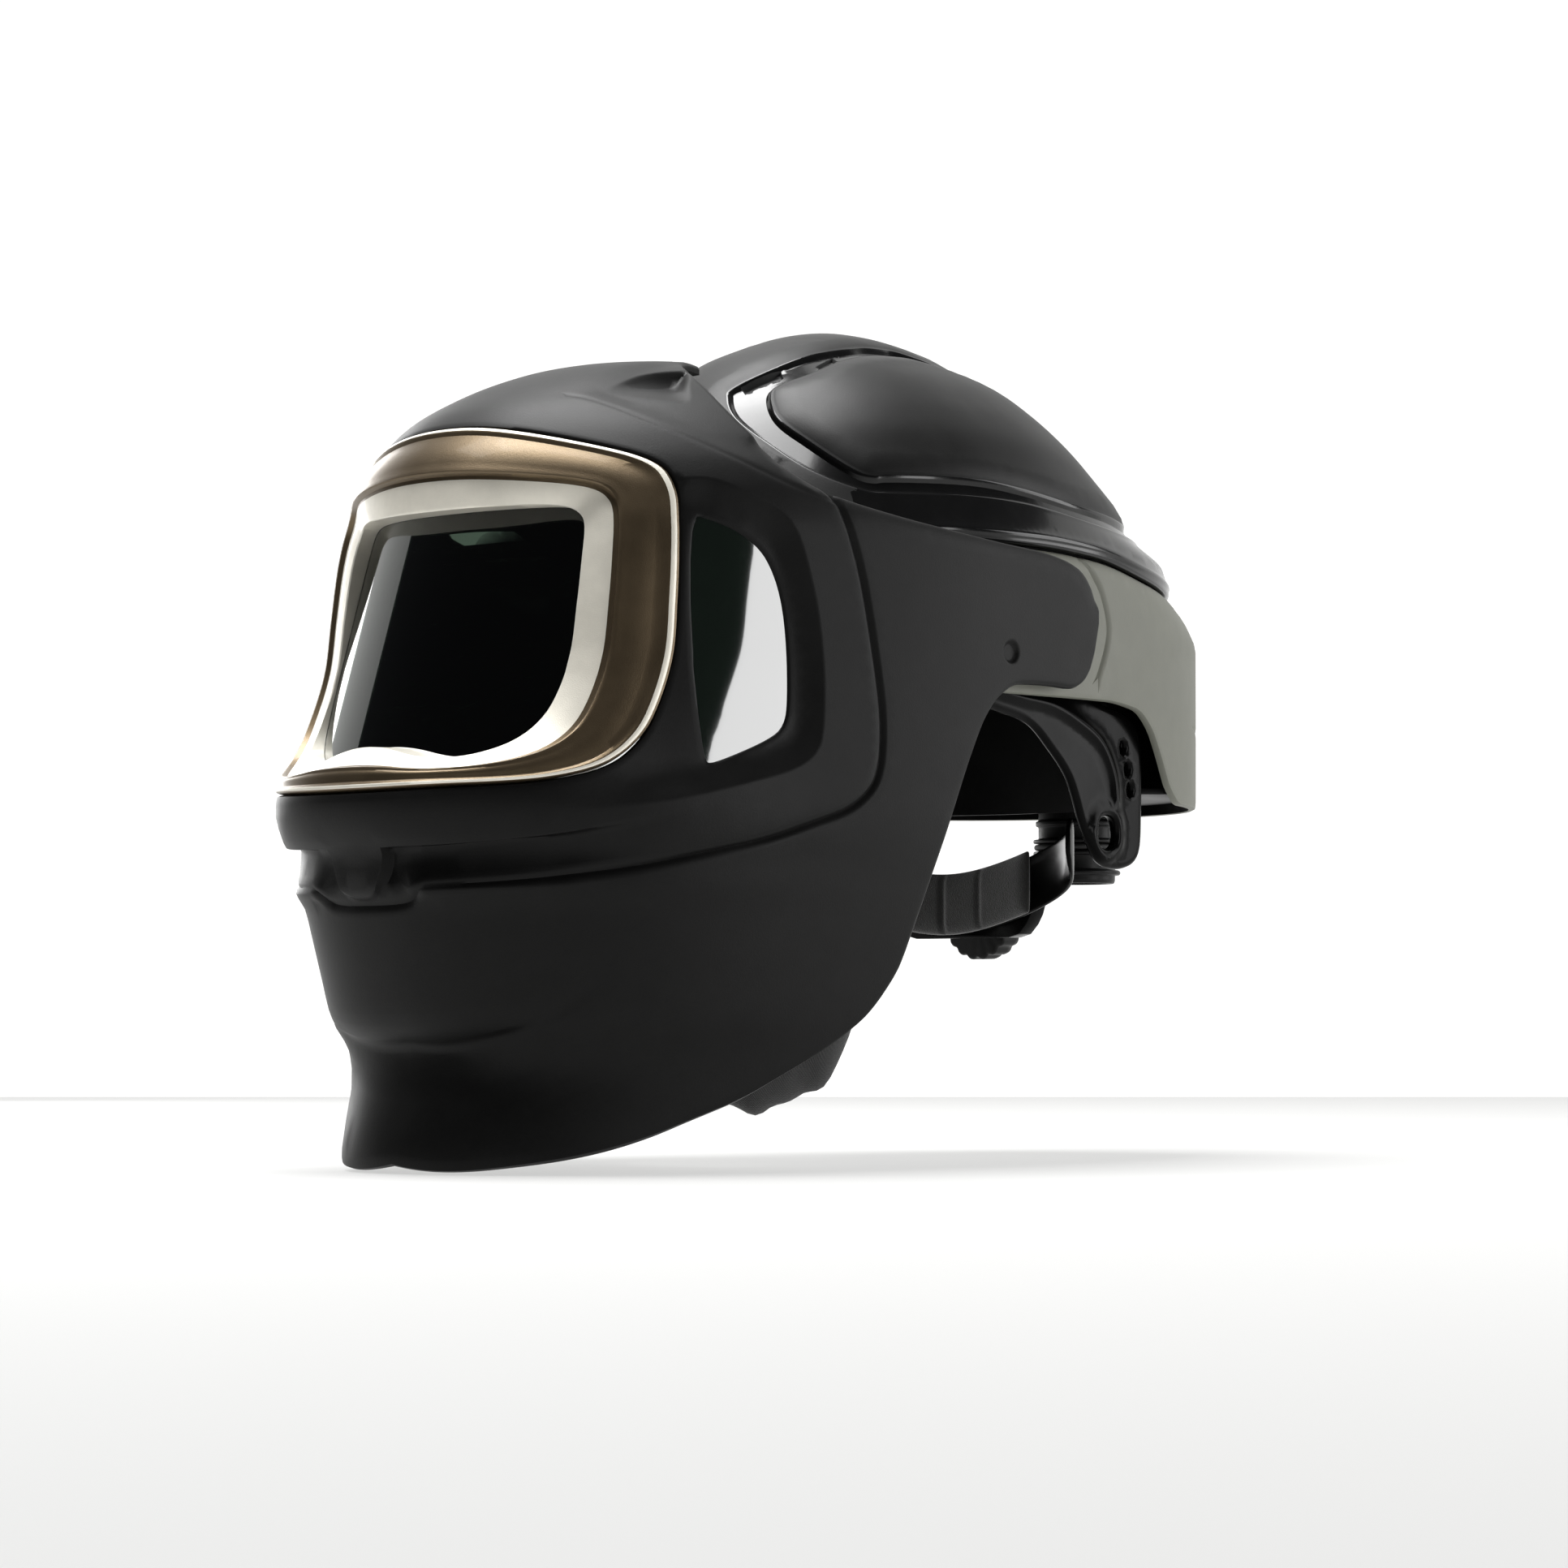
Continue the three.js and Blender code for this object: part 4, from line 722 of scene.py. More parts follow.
def build_front_frame():
    c = np.array([0.0, 6.0])
    n = 360
    th = np.linspace(0, 2 * math.pi, n, endpoint=False)
    ro = polar(chaikin(frameOutline, 2), c, th) - 0.35
    ri = polar(chaikin(apertureOutline, 2), c, th)
    d = np.stack([np.cos(th), np.sin(th)], 1)
    # share of the width that is the inner bevel: sides, top, bottom
    fb = 0.39 - 0.04 * np.clip(d[:, 1], 0, 1) ** 2 + 0.11 * np.clip(-d[:, 1], 0, 1) ** 2
    width = ro - ri
    rq = ri + width * fb
    rows = []

    def at(r, h):
        x, z = c[0] + d[:, 0] * r, c[1] + d[:, 1] * r
        return surf_point(x, z, np.full(n, h))
    rows.append(at(ro, -6.0))
    rows.append(at(ro, -0.9))
    rows.append(at(ro - 0.15, 0.1))
    rows.append(at(ro - 0.6, 0.75))
    rows.append(at(ro - 1.0, 1.0))
    rows.append(at(ro - 1.7, 1.0))
    rows.append(at(ro - 2.2, 0.75))
    rows.append(at(ro - 3.0, 0.1))
    for t in (0.15, 0.35, 0.55, 0.75, 0.9):
        rows.append(at(ro - 3.6 + (rq + 1.5 - ro + 3.6) * t, 0.1 + 0.45 * math.sin(math.pi * t)))
    rows.append(at(rq + 1.5, 0.35))
    rows.append(at(rq + 0.9, 0.25))
    rows.append(at(rq + 0.5, -0.2))
    rows.append(at(rq + 0.3, -1.9))
    q0 = rows[-1]
    x1, z1 = c[0] + d[:, 0] * ri, c[1] + d[:, 1] * ri
    q1 = surf_point(x1, z1, np.full(n, -6.4))
    q1[:, 1] = np.minimum(q1[:, 1], plate_y(q1[:, 0], q1[:, 2]) - 2.2)
    for t in (0.12, 0.3, 0.5, 0.7, 0.86, 0.95, 1.0):
        bulge = 0.5 * math.sin(math.pi * t)
        p = q0 + (q1 - q0) * t
        p[:, 1] -= bulge
        rows.append(p)
    x2, z2 = q1[:, 0] - d[:, 0] * 0.7, q1[:, 2] - d[:, 1] * 0.7
    rows.append(np.stack([x2 + d[:, 0] * 0.25, q1[:, 1] + 0.35, z2 + d[:, 1] * 0.25], 1))
    rows.append(np.stack([x2, plate_y(x2, z2) - 0.65, z2], 1))
    rows.append(np.stack([x2, plate_y(x2, z2) - 0.15, z2], 1))
    x3, z3 = c[0] + d[:, 0] * (ri + 2.0), c[1] + d[:, 1] * (ri + 2.0)
    rows.append(np.stack([x3, plate_y(x3, z3) + 0.0, z3], 1))
    x4, z4 = c[0] + d[:, 0] * (ro - 2.5), c[1] + d[:, 1] * (ro - 2.5)
    p4 = surf_point(x4, z4, np.full(n, -6.0))
    rows.append(p4)
    R = len(rows)
    V = np.vstack(rows)
    F, idx = [], []
    for r in range(R):
        r2 = (r + 1) % R
        for k in range(n):
            k2 = (k + 1) % n
            F.append((r * n + k, r * n + k2, r2 * n + k2, r2 * n + k))
            # outer bead rows 3 to 4 and inner bevel rows 17 to 27 take the lighter copy of the frame paint: a painted
            # highlight
            idx.append(1 if (3 <= r <= 4 or 17 <= r <= 27) else 0)
    ob = make("front_frame_fine", V, F, [M["frame"], M["frame_painted_highlight"]], idx, True, 34)
    bm = bmesh.new()
    bm.from_mesh(ob.data)
    bmesh.ops.recalc_face_normals(bm, faces=bm.faces)
    bm.to_mesh(ob.data)
    bm.free()
    finish_piece(ob, "shield", "front_metallic", "front_frame")


def curved_plate(name, hw, z0, z1, front, thick, mats, cols=48, rows=40, corner=6.0):
    xs = np.linspace(-hw, hw, cols + 1)
    zs = np.linspace(z0, z1, rows + 1)
    X, Z = np.meshgrid(xs, zs)
    # rounded corners
    cx, cz = np.clip(X, -hw + corner, hw - corner), np.clip(Z, z0 + corner, z1 - corner)
    dx, dz = X - cx, Z - cz
    l = np.hypot(dx, dz)
    s = np.where((l > 1e-9) & (np.abs(dx) > 0) & (np.abs(dz) > 0), np.maximum(np.abs(dx), np.abs(dz)) / np.maximum(l, 1e-9), 1.0)
    X, Z = cx + dx * s, cz + dz * s

    def grid(depth):
        R = PLATE_R - depth
        y = front + PLATE_R - np.sqrt(R * R - X * X)
        return np.stack([X, PLATE_Y + y * math.cos(TILT) + Z * math.sin(TILT), PLATE_Z - y * math.sin(TILT) + Z * math.cos(TILT)], -1).reshape(-1, 3)
    w = cols + 1
    F = []
    for r in range(rows):
        for c in range(cols):
            a = r * w + c
            F += [(a, a + 1, a + w + 1), (a, a + w + 1, a + w)]
    return closed_shell(name, grid(0), grid(thick), F, mats, sharp=30)


def gasket():
    outer = np.array([[-57, -52], [57, -52], [63.5, -46], [63.5, 48], [57, 54], [-57, 54], [-63.5, 48], [-63.5, -46]], float)
    hole = chaikin(np.array([[-52, -25], [52, -25], [52, 41], [-52, 41]], float) , 1)
    v, f, loops = triangulate(chaikin(outer, 1), [hole], [], 5.0, edge_offsets=(0.6, 1.4))
    de = np.minimum(dist(loops[0], v, True), dist(loops[1], v, True))
    lift = 0.6 - np.where(de < 1.2, 0.6 * (1 - de / 1.2) ** 2, 0)

    def place(depth, bulge):
        x, z = v[:, 0], v[:, 1]
        y = 15.6 + depth + PLATE_R - np.sqrt((PLATE_R - depth) ** 2 - x * x) - bulge
        return np.stack([x, PLATE_Y + y * math.cos(TILT) + z * math.sin(TILT), PLATE_Z - y * math.sin(TILT) + z * math.cos(TILT)], 1)
    ob = closed_shell("plate_gasket_fine", place(1.0, lift), place(2.4, 0), f, [M["rubber"]], sharp=35)
    fix_normals(ob)
    finish_piece(ob, "shield", "rubber_black")


build_front_frame()
gasket()
pl = curved_plate("outer_plate_fine", 64.5, -52.5, 54.0, 13.0, 1.6, [M["plate"]])
finish_piece(pl, "shield", "plate_clear", "outer_plate")


# ------------------------------------------------------------ finer copies of CAD nodes
def cad_points(node):
    o = bpy.data.objects.get(node)
    return o


CADOBJ = {}
for ob_ in bpy.data.objects:
    if ob_.type == "MESH":
        CADOBJ[ob_.name] = ob_


def fine_copy(node, mats, bevel=0.6, seg=3, sub=0, angle=35, name=None, limit=30):
    src = CADOBJ[node]
    me = src.data.copy()
    me.name = node + "_fine"
    me.materials.clear()
    me.materials.append(mats)
    ob = bpy.data.objects.new(name or node + "_fine", me)
    bpy.context.scene.collection.objects.link(ob)
    ob.matrix_world = src.matrix_world.copy()
    bpy.context.view_layer.update()
    me.transform(ob.matrix_world)
    ob.matrix_world = Matrix.Identity(4)
    bm = bmesh.new()
    bm.from_mesh(me)
    bmesh.ops.remove_doubles(bm, verts=bm.verts, dist=0.00002)
    bmesh.ops.dissolve_limit(bm, angle_limit=2 * D2R, verts=bm.verts, edges=bm.edges)
    bmesh.ops.recalc_face_normals(bm, faces=bm.faces)
    bm.to_mesh(me)
    bm.free()
    if bevel > 0:
        m = ob.modifiers.new("b", "BEVEL")
        m.width = bevel * 0.001
        m.segments = seg
        m.limit_method = "ANGLE"
        m.angle_limit = limit * D2R
        m.harden_normals = False
    if sub:
        s = ob.modifiers.new("s", "SUBSURF")
        s.levels = sub
        s.render_levels = sub
    apply_mods(ob)
    ob.data.polygons.foreach_set("use_smooth", np.ones(len(ob.data.polygons), bool))
    ob.data.set_sharp_from_angle(angle=angle * D2R)
    return ob


def apply_mods(ob):
    bpy.context.view_layer.update()
    dg = bpy.context.evaluated_depsgraph_get()
    ev = ob.evaluated_get(dg)
    me = bpy.data.meshes.new_from_object(ev)
    old = ob.data
    ob.modifiers.clear()
    ob.data = me
    bpy.data.meshes.remove(old)
    return ob


for node, m, b, body, slot in (
    ("filter_cassette", "cassette", 0.8, "shield", "cassette_black"),
    ("filter_glass", "filter", 0.5, "shield", "filter_dark"),
    ("inner_plate", "lens", 0.3, "shield", "plate_clear"),
    ("button_shade", "button", 0.8, "shade_button", "button_grey"),
    ("button_sensitivity", "button", 0.8, "sensitivity_button", "button_grey"),
    ("button_delay", "button", 0.8, "delay_button", "button_grey"),
    ("ratchet_housing", "arm", 1.2, "helmet", "arm_gloss"),
    ("ratchet_pinion", "inner", 0.3, "knob", "inner_black"),
    ("duct_floor", "inner", 0.4, "helmet", "inner_black"),
    ("hinge_nut_left", "steel", 0.4, "helmet", "pin_steel"),
    ("hinge_nut_right", "steel", 0.4, "helmet", "pin_steel"),
):
    bodies = {b_.get("name", k) if isinstance(b_, dict) else k: b_ for k, b_ in frame["bodies"].items()}
    target = body
    if body.endswith("_button") and body not in frame["bodies"]:
        kind = body.split("_")[0]
        target = [k for k in frame["bodies"] if kind in k][0]
    o_ = fine_copy(node, M[m], b)
    finish_piece(o_, target, slot, node)


# ------------------------------------------------------------ lathe parts
def lathe(name, profile, mats, axis, origin, n=96, sharp=32, scallop=None):
    """profile: (radius, position) rows along the axis, closed on itself; axis 'x','-x','y','z'"""
    p = np.array(profile, float)
    th = np.linspace(0, 2 * math.pi, n, endpoint=False)
    R = len(p)
    V = []
    for k, t in enumerate(th):
        for r, h in p:
            rr = r * (1 if scallop is None else scallop(t, r, h))
            u, v = rr * math.cos(t), rr * math.sin(t)
            if axis == "x":
                q = (h, u, v)
            elif axis == "-x":
                q = (-h, u, v)
            elif axis == "y":
                q = (u, h, v)
            else:
                q = (u, v, h)
            V.append((q[0] + origin[0], q[1] + origin[1], q[2] + origin[2]))
    F = []
    for k in range(n):
        k2 = (k + 1) % n
        for r in range(R):
            r2 = (r + 1) % R
            F.append((k * R + r, k2 * R + r, k2 * R + r2, k * R + r2))
    ob = make(name, V, F, mats, None, True, None)
    bm = bmesh.new()
    bm.from_mesh(ob.data)
    bmesh.ops.remove_doubles(bm, verts=bm.verts, dist=1e-7)
    bmesh.ops.recalc_face_normals(bm, faces=bm.faces)
    bm.to_mesh(ob.data)
    bm.free()
    ob.data.polygons.foreach_set("use_smooth", np.ones(len(ob.data.polygons), bool))
    ob.data.set_sharp_from_angle(angle=sharp * D2R)
    return ob


def rounded(profile, r=0.5, seg=3):
    """rounds the corners of a closed profile"""
    p = np.array(profile, float)
    out = []
    n = len(p)
    for i in range(n):
        a, c, b = p[i - 1], p[i], p[(i + 1) % n]
        u, v = a - c, b - c
        lu, lv = np.linalg.norm(u), np.linalg.norm(v)
        d = min(r, lu * 0.45, lv * 0.45)
        if c[0] < 1e-6 or d < 1e-6:
            out.append(c)
            continue
        u, v = u / lu * d, v / lv * d
        for k in range(seg + 1):
            t = k / seg
            out.append(c + u * (1 - t) ** 2 + v * t * t)
    return np.array(out)


sp = [[12.8, -78], [15.0, -78], [15.5, -76.8], [15.5, -74.6], [17.2, -74.6], [17.8, -73.6], [17.2, -72.6], [15.5, -72.4], [15.5, -66.6], [17.6, -66.4], [17.6, -65.0], [14.9, -64.8],
      [14.9, -61.8], [17.6, -61.6], [17.6, -60.2], [15.5, -60.0], [15.5, -55], [16.6, -54.6], [16.6, -52.8], [15.5, -52.4], [15.5, -47.0], [15.5, -38.4], [14.8, -38], [12.8, -38]]
finish_piece(lathe("hose_spigot_fine", rounded(sp, 0.5), [M["inner"]], "z", (0, 174.5, 0)), "helmet", "inner_black", "hose_spigot")
th_ = np.linspace(0, 2 * math.pi, 16, endpoint=False)
finish_piece(lathe("spigot_seal_fine", [(16.1 + 1.2 * math.cos(t), -63.3 + 1.2 * math.sin(t)) for t in th_], [M["rubber"]], "z", (0, 174.5, 0)), "helmet", "rubber_black", "spigot_seal")
for side, ax in (("left", "x"), ("right", "-x")):
    pr = [[0, 92], [9.5, 92], [9.5, 95.6], [6, 95.6], [6, 104.3], [8.1, 104.3], [8.1, 108.1], [5.1, 108.1], [5.1, 110.9], [1.6, 110.9], [1.3, 110.0], [0, 110.0]]
    finish_piece(lathe("hinge_pin_%s_fine" % side, rounded(pr, 0.5), [M["steel"]], ax, (0, 28, 10), 64), "helmet", "pin_steel", "hinge_pin_" + side)
    wr = [[8.6, 107.8], [15, 107.8], [15, 109.5], [8.6, 109.5]]
    finish_piece(lathe("friction_washer_%s_fine" % side, rounded(wr, 0.35), [M["rubber"]], ax, (0, 28, 10), 64), "visor", "rubber_black", "friction_washer_" + side)
kp = [[0, 111.6], [16.9, 111.6], [17.5, 112.4], [17.3, 119.5], [16.6, 122.0], [15.2, 123.3], [12.2, 123.4], [11.4, 122.2], [6.0, 121.6], [0, 121.5]]
finish_piece(lathe("ratchet_knob_fine", rounded(kp, 0.6), [M["inner"]], "y", (0, 0, -92), 192,
                   scallop=lambda t, r, h: 1 - (0.055 * (0.5 - 0.5 * math.cos(18 * t)) ** 1.5 if r > 14.5 else 0)), "knob", "inner_black", "ratchet_knob")


# ------------------------------------------------------------ hard hat
def build_hat():
    k = 2.3

    def flat(az_el):
        p = np.asarray(az_el, float)
        rho = (90 - p[:, 1]) * k
        return np.stack([rho * np.sin(p[:, 0] * D2R), -rho * np.cos(p[:, 0] * D2R)], 1)
    az = np.arange(0, 360, 1.5)
    low = hatLow(np.where(az > 180, 360 - az, az))
    el = elevation_at(hatSurf, HC, az * D2R, low) / D2R
    outline = flat(np.stack([az, el], 1))
    outer_loop = smooth_line([(13, 47), (18.5, 40.8), (29, 33.6), (37.9, 28.2), (47.7, 24.9), (54.4, 24.7), (74.4, 26.5), (89.7, 26.7), (100.8, 25.5), (115, 23), (130, 20.5), (143, 19),
                              (154, 20), (160, 28), (158, 44), (150, 60), (135, 70), (110, 76.5), (90, 77.5), (66, 76), (49.2, 72), (32.7, 65.2), (21.3, 56.8), (12.6, 50.2)], True, 6)
    inner_loop = smooth_line([(25.5, 47.7), (29.5, 40.6), (37.6, 34.8), (46.5, 29.3), (50.5, 28.2), (54.9, 28.9), (76.2, 30.9), (92, 30.3), (109.3, 27.5), (125, 25), (138, 23),
                              (146, 24.5), (150.5, 31), (149, 44), (142, 56), (128, 66), (110, 71.5), (90, 73.2), (64, 70.5), (47, 64.5), (35.2, 55.7), (27.5, 51)], True, 6)
    vents = [np.array([(14.6, 50.9), (17.2, 48.8), (26.4, 54.6), (24.2, 57.6), (19.5, 54.6)]), np.array([(35.5, 61.0), (39.0, 59.5), (46.5, 64.6), (42.0, 67.4)])]
    lower = smooth_line([(154, 20), (166, 18.2), (180, 17.8)], False, 6)
    lines = []
    for s in (1, -1):
        g = (lambda p: np.asarray(p, float)) if s == 1 else mirrored
        for L in (outer_loop, inner_loop):
            q = flat(g(L))
            lines.append(np.vstack([q, q[:1]]))
        for L in vents:
            q = flat(g(L))
            lines.append(np.vstack([q, q[:1]]))
        lines.append(flat(g(lower)))
    v, f, loops = triangulate(outline, [], lines, 3.2, edge_offsets=(0.5, 1.1, 1.8, 2.6, 3.4, 4.2, 5.2, 6.4), line_step=1.5)
    rho = np.linalg.norm(v, axis=1)
    az_ = np.arctan2(v[:, 0], -v[:, 1])
    el_ = (90 - rho / k) * D2R
    P = reach(hatSurf, HC, az_, el_)
    Nn = normals(hatSurf, HC, az_, el_)
    Q = P.copy()
    Q[:, 0] = np.abs(Q[:, 0])
    half = v.copy()
    half[:, 0] = np.abs(half[:, 0])

    def to3(L):
        L = np.asarray(L, float)
        return reach(hatSurf, HC, L[:, 0] * D2R, L[:, 1] * D2R)
    fo, fi = flat(outer_loop), flat(inner_loop)
    in_o, in_i = inside(fo, half), inside(fi, half)
    d_o, d_i = dist(to3(outer_loop), Q, True), dist(to3(inner_loop), Q, True)
    band = in_o & ~in_i
    disp = np.zeros(len(v))
    disp -= np.where(band, 1.9 * sstep(np.minimum(d_o, d_i), 0, 2.6), 0)
    disp += np.where(in_i, 1.6 * sstep(d_i, 0, 5.0), 0)
    # ridge along the middle
    ridge = (~in_o) & (P[:, 2] > 70)
    disp += np.where(ridge, 1.4 * sstep(d_o, 0, 6), 0)
    for L in vents:
        iv = inside(flat(L), half)
        dv = dist(to3(L), Q, True)
        disp -= np.where(iv, 1.6 * sstep(dv, 0, 0.8), 0)
    top = P[:, 2] > 122
    disp = np.where(top, np.minimum(disp, 1.2), disp)
    de = dist(reach(hatSurf, HC, az * D2R, el * D2R), P, True)
    r = 1.5
    disp -= np.where(de < r, r - np.sqrt(np.maximum(r * r - (r - de) ** 2, 0)), 0)
    # rolled bead along the lower edge
    disp += 0.8 * np.exp(-((de - 4.0) / 1.4) ** 2)
    outer = P + Nn * disp[:, None]
    inner = P + Nn * np.minimum(-3.0, disp - 1.6)[:, None]
    cen = v[f].mean(1)
    ch = cen.copy()
    ch[:, 0] = np.abs(ch[:, 0])
    idx = np.zeros(len(f), int)
    co, ci = inside(fo, ch), inside(fi, ch)
    idx[co & ~ci] = 1
    flank = np.vstack([flat([(a_, e_) for a_, e_ in [(47.7, 24.9)]]), flat(outer_loop[24:72])])
    caz = np.degrees(np.arctan2(ch[:, 0], -ch[:, 1]))
    cel = 90 - np.linalg.norm(ch, axis=1) / k
    lowb = np.interp(caz, [40, 47.7, 54.4, 74.4, 89.7, 100.8, 115, 130, 143, 154, 166, 180], [20, 24.9, 24.7, 26.5, 26.7, 25.5, 23, 20.5, 19, 20, 18.2, 17.8])
    idx[(~co) & (cel < lowb + 0.4) & (caz > 46)] = 1
    # faces inside the vent outlines get the darker vent material: painted shade of the openings
    for L in vents:
        idx[inside(flat(L), ch)] = 2
    ob = closed_shell("hat_shell_fine", outer, inner, f, [M["hat"], M["hat_gloss"], M["vent"]], idx, sharp=34)
    finish_piece(ob, "helmet", "hat_black", "hat_shell")


build_hat()


# ------------------------------------------------------------ rear air cover
def build_cover():
    k = 2.0
    az = np.linspace(68, 292, 150)
    fold = np.where(az > 180, 360 - az, az)
    lo = elevation_at(coverSurf, HC, az * D2R, coverLow(fold)) / D2R
    hi = elevation_at(coverSurf, HC, az * D2R, coverHigh(fold)) / D2R
    outline = np.vstack([np.stack([az, lo], 1), np.stack([az, hi], 1)[::-1]]) * k
    arc = smooth_line([(104.0, 16.2), (107.5, 12.2), (110.2, 8.8), (111.8, 4.1), (112.0, 0.5), (110.8, -3.5), (108.6, -8.0)])
    seam = np.stack([np.linspace(148, 180, 24), np.interp(np.linspace(148, 180, 24), [148, 160, 180], [-11.0, -11.5, -11.8])], 1)
    lines = []
    for s in (1, -1):
        for L in (arc,):
            q = np.array(L)
            if s == -1:
                q[:, 0] = 360 - q[:, 0]
            lines.append(q * k)
    sm = np.vstack([seam, np.stack([360 - seam[::-1][1:, 0], seam[::-1][1:, 1]], 1)])
    lines.append(sm * k)
    v, f, loops = triangulate(outline, [], lines, 3.0)
    a, e = v[:, 0] / k * D2R, v[:, 1] / k * D2R
    P = reach(coverSurf, HC, a, e)
    Nn = normals(coverSurf, HC, a, e, 0.02)
    Q = P.copy()
    Q[:, 0] = np.abs(Q[:, 0])

    def to3(L):
        L = np.asarray(L, float)
        return reach(coverSurf, HC, L[:, 0] * D2R, L[:, 1] * D2R)
    disp = np.zeros(len(v))
    disp -= 1.3 * np.exp(-(dist(to3(arc), Q) / 1.0) ** 2)
    disp -= 0.7 * np.exp(-(dist(to3(seam), Q) / 0.8) ** 2)
    for m_ in ((101.7, 74.2, 10.6), (102.0, 71.3, -2.8), (94.0, 97.5, 14.0)):
        dm = np.linalg.norm(Q - np.array(m_), axis=1)
        disp -= 0.5 * (1 - sstep(dm, 1.2, 2.2))
    de = dist(to3(loops[0] / k), P, True)
    dtop = dist(to3(np.stack([az, hi], 1)), P)
    disp -= np.where(dtop < 4.5, (4.5 - dtop) * 0.45, 0)
    r = 1.2
    disp -= np.where(de < r, r - np.sqrt(np.maximum(r * r - (r - de) ** 2, 0)), 0)
    outer = P + Nn * disp[:, None]
    inner = P + Nn * np.minimum(-2.6, disp - 1.0)[:, None]
    ob = closed_shell("rear_air_cover_fine", outer, inner, f, [M["cover"], M["inner"]], sharp=34)
    idx = np.zeros(len(ob.data.polygons), np.int32)
    idx[len(f):2 * len(f)] = 1
    ob.data.polygons.foreach_set("material_index", idx)
    finish_piece(ob, "helmet", "cover_grey", "rear_air_cover")
    # inner wall of the duct
    wall = section(lambda z: np.full_like(np.asarray(z, float), 93.5), BIG, lambda z: np.full_like(np.asarray(z, float), 126.0), 28, 60)
    az = np.linspace(128, 232, 60)
    zz = np.linspace(-50, 27, 24)
    A, Z = np.meshgrid(az, zz)
    E = elevation_at(wall, HC, A.ravel() * D2R, Z.ravel())
    Pw = reach(wall, HC, A.ravel() * D2R, E)
    Nw = normals(wall, HC, A.ravel() * D2R, E)
    w = len(az)
    F = [(r_ * w + c_, r_ * w + c_ + 1, (r_ + 1) * w + c_ + 1) for r_ in range(23) for c_ in range(w - 1)] + \
        [(r_ * w + c_, (r_ + 1) * w + c_ + 1, (r_ + 1) * w + c_) for r_ in range(23) for c_ in range(w - 1)]
    rib = 0.5 * np.exp(-(((A.ravel() - 128) % 13 - 6.5) / 0.9) ** 2)
    wob = closed_shell("duct_inner_wall_fine", Pw + Nw * (rib - 0.5)[:, None], Pw - Nw * 1.8, F, [M["inner"]], sharp=30)
    finish_piece(wob, "helmet", "inner_black", "duct_inner_wall")


build_cover()


# ------------------------------------------------------------ visor
def build_visor():
    al = np.concatenate([np.linspace(0, 60, 31), np.linspace(62, 108.3, 40)])
    low, high = np.stack([al, visorLow(al)], 1), np.stack([al, visorHigh(al)], 1)
    half = np.vstack([low, high[::-1]])
    outline = np.vstack([half[:-1], mirrored(half)[::-1][:-1]])
    lens = outline_front(chaikin(lensOutline, 3), visorHalf, visorFront)
    pins = []
    for s in (1, -1):
        t = np.linspace(0, 2 * math.pi, 40, endpoint=False)
        y, z = 28 + 8.4 * np.cos(t), 10 + 8.4 * np.sin(t)
        pins.append(angles(np.stack([np.full(40, 107.4 * s), y, z], 1), O))
    v, f, loops = triangulate(outline * K, [lens * K] + [p * K for p in pins], [], 4.2)
    a, e = v[:, 0] / K * D2R, v[:, 1] / K * D2R
    P = reach(visorSurf, O, a, e)
    Nn = normals(visorSurf, O, a, e)
    to3 = lambda L: reach(visorSurf, O, L[:, 0] * D2R, L[:, 1] * D2R)
    disp = np.zeros(len(v))
    for i, L in enumerate(loops):
        d = dist(to3(L / K), P, True)
        r = 1.0
        disp -= np.where(d < r, r - np.sqrt(np.maximum(r * r - (r - d) ** 2, 0)), 0)
        if i == 1:
            disp -= 0.8 * np.exp(-((d - 6.0) / 1.0) ** 2)
    ob = closed_shell("visor_frame_fine", P + Nn * disp[:, None], P + Nn * np.minimum(-2.2, disp - 1.0)[:, None], f, [M["inner"]], sharp=34)
    finish_piece(ob, "visor", "inner_black", "visor_frame")
    c = np.array([0, -20.0])
    ln = chaikin(lensOutline, 3)
    ln = c + (ln - c) * 0.993
    lf = outline_front(ln, visorHalf, visorFront)
    vv, ff, _ = triangulate(lf * K, [], [], 4.0)
    PP = reach(visorSurf, O, vv[:, 0] / K * D2R, vv[:, 1] / K * D2R)
    NN = normals(visorSurf, O, vv[:, 0] / K * D2R, vv[:, 1] / K * D2R)
    lo = closed_shell("visor_lens_fine", PP - NN * 0.3, PP - NN * 1.7, ff, [M["lens"]], sharp=30)
    finish_piece(lo, "visor", "plate_clear", "visor_lens")


build_visor()


# ------------------------------------------------------------ straps and arms
def arc_curve(a, f, yc, z0, z1, frm, to):
    def g(t):
        al = (frm + (to - frm) * t) * D2R
        ca, sa = np.abs(np.cos(al)), np.abs(np.sin(al))
        r = 1 / np.power(np.power(sa / a, 2.15) + np.power(ca / f, 2.15), 1 / 2.15)
        u = np.abs(2 * t - 1)
        return np.stack([np.sin(al) * r, yc - np.cos(al) * r, z1 + (z0 - z1) * u * u], -1)
    return g


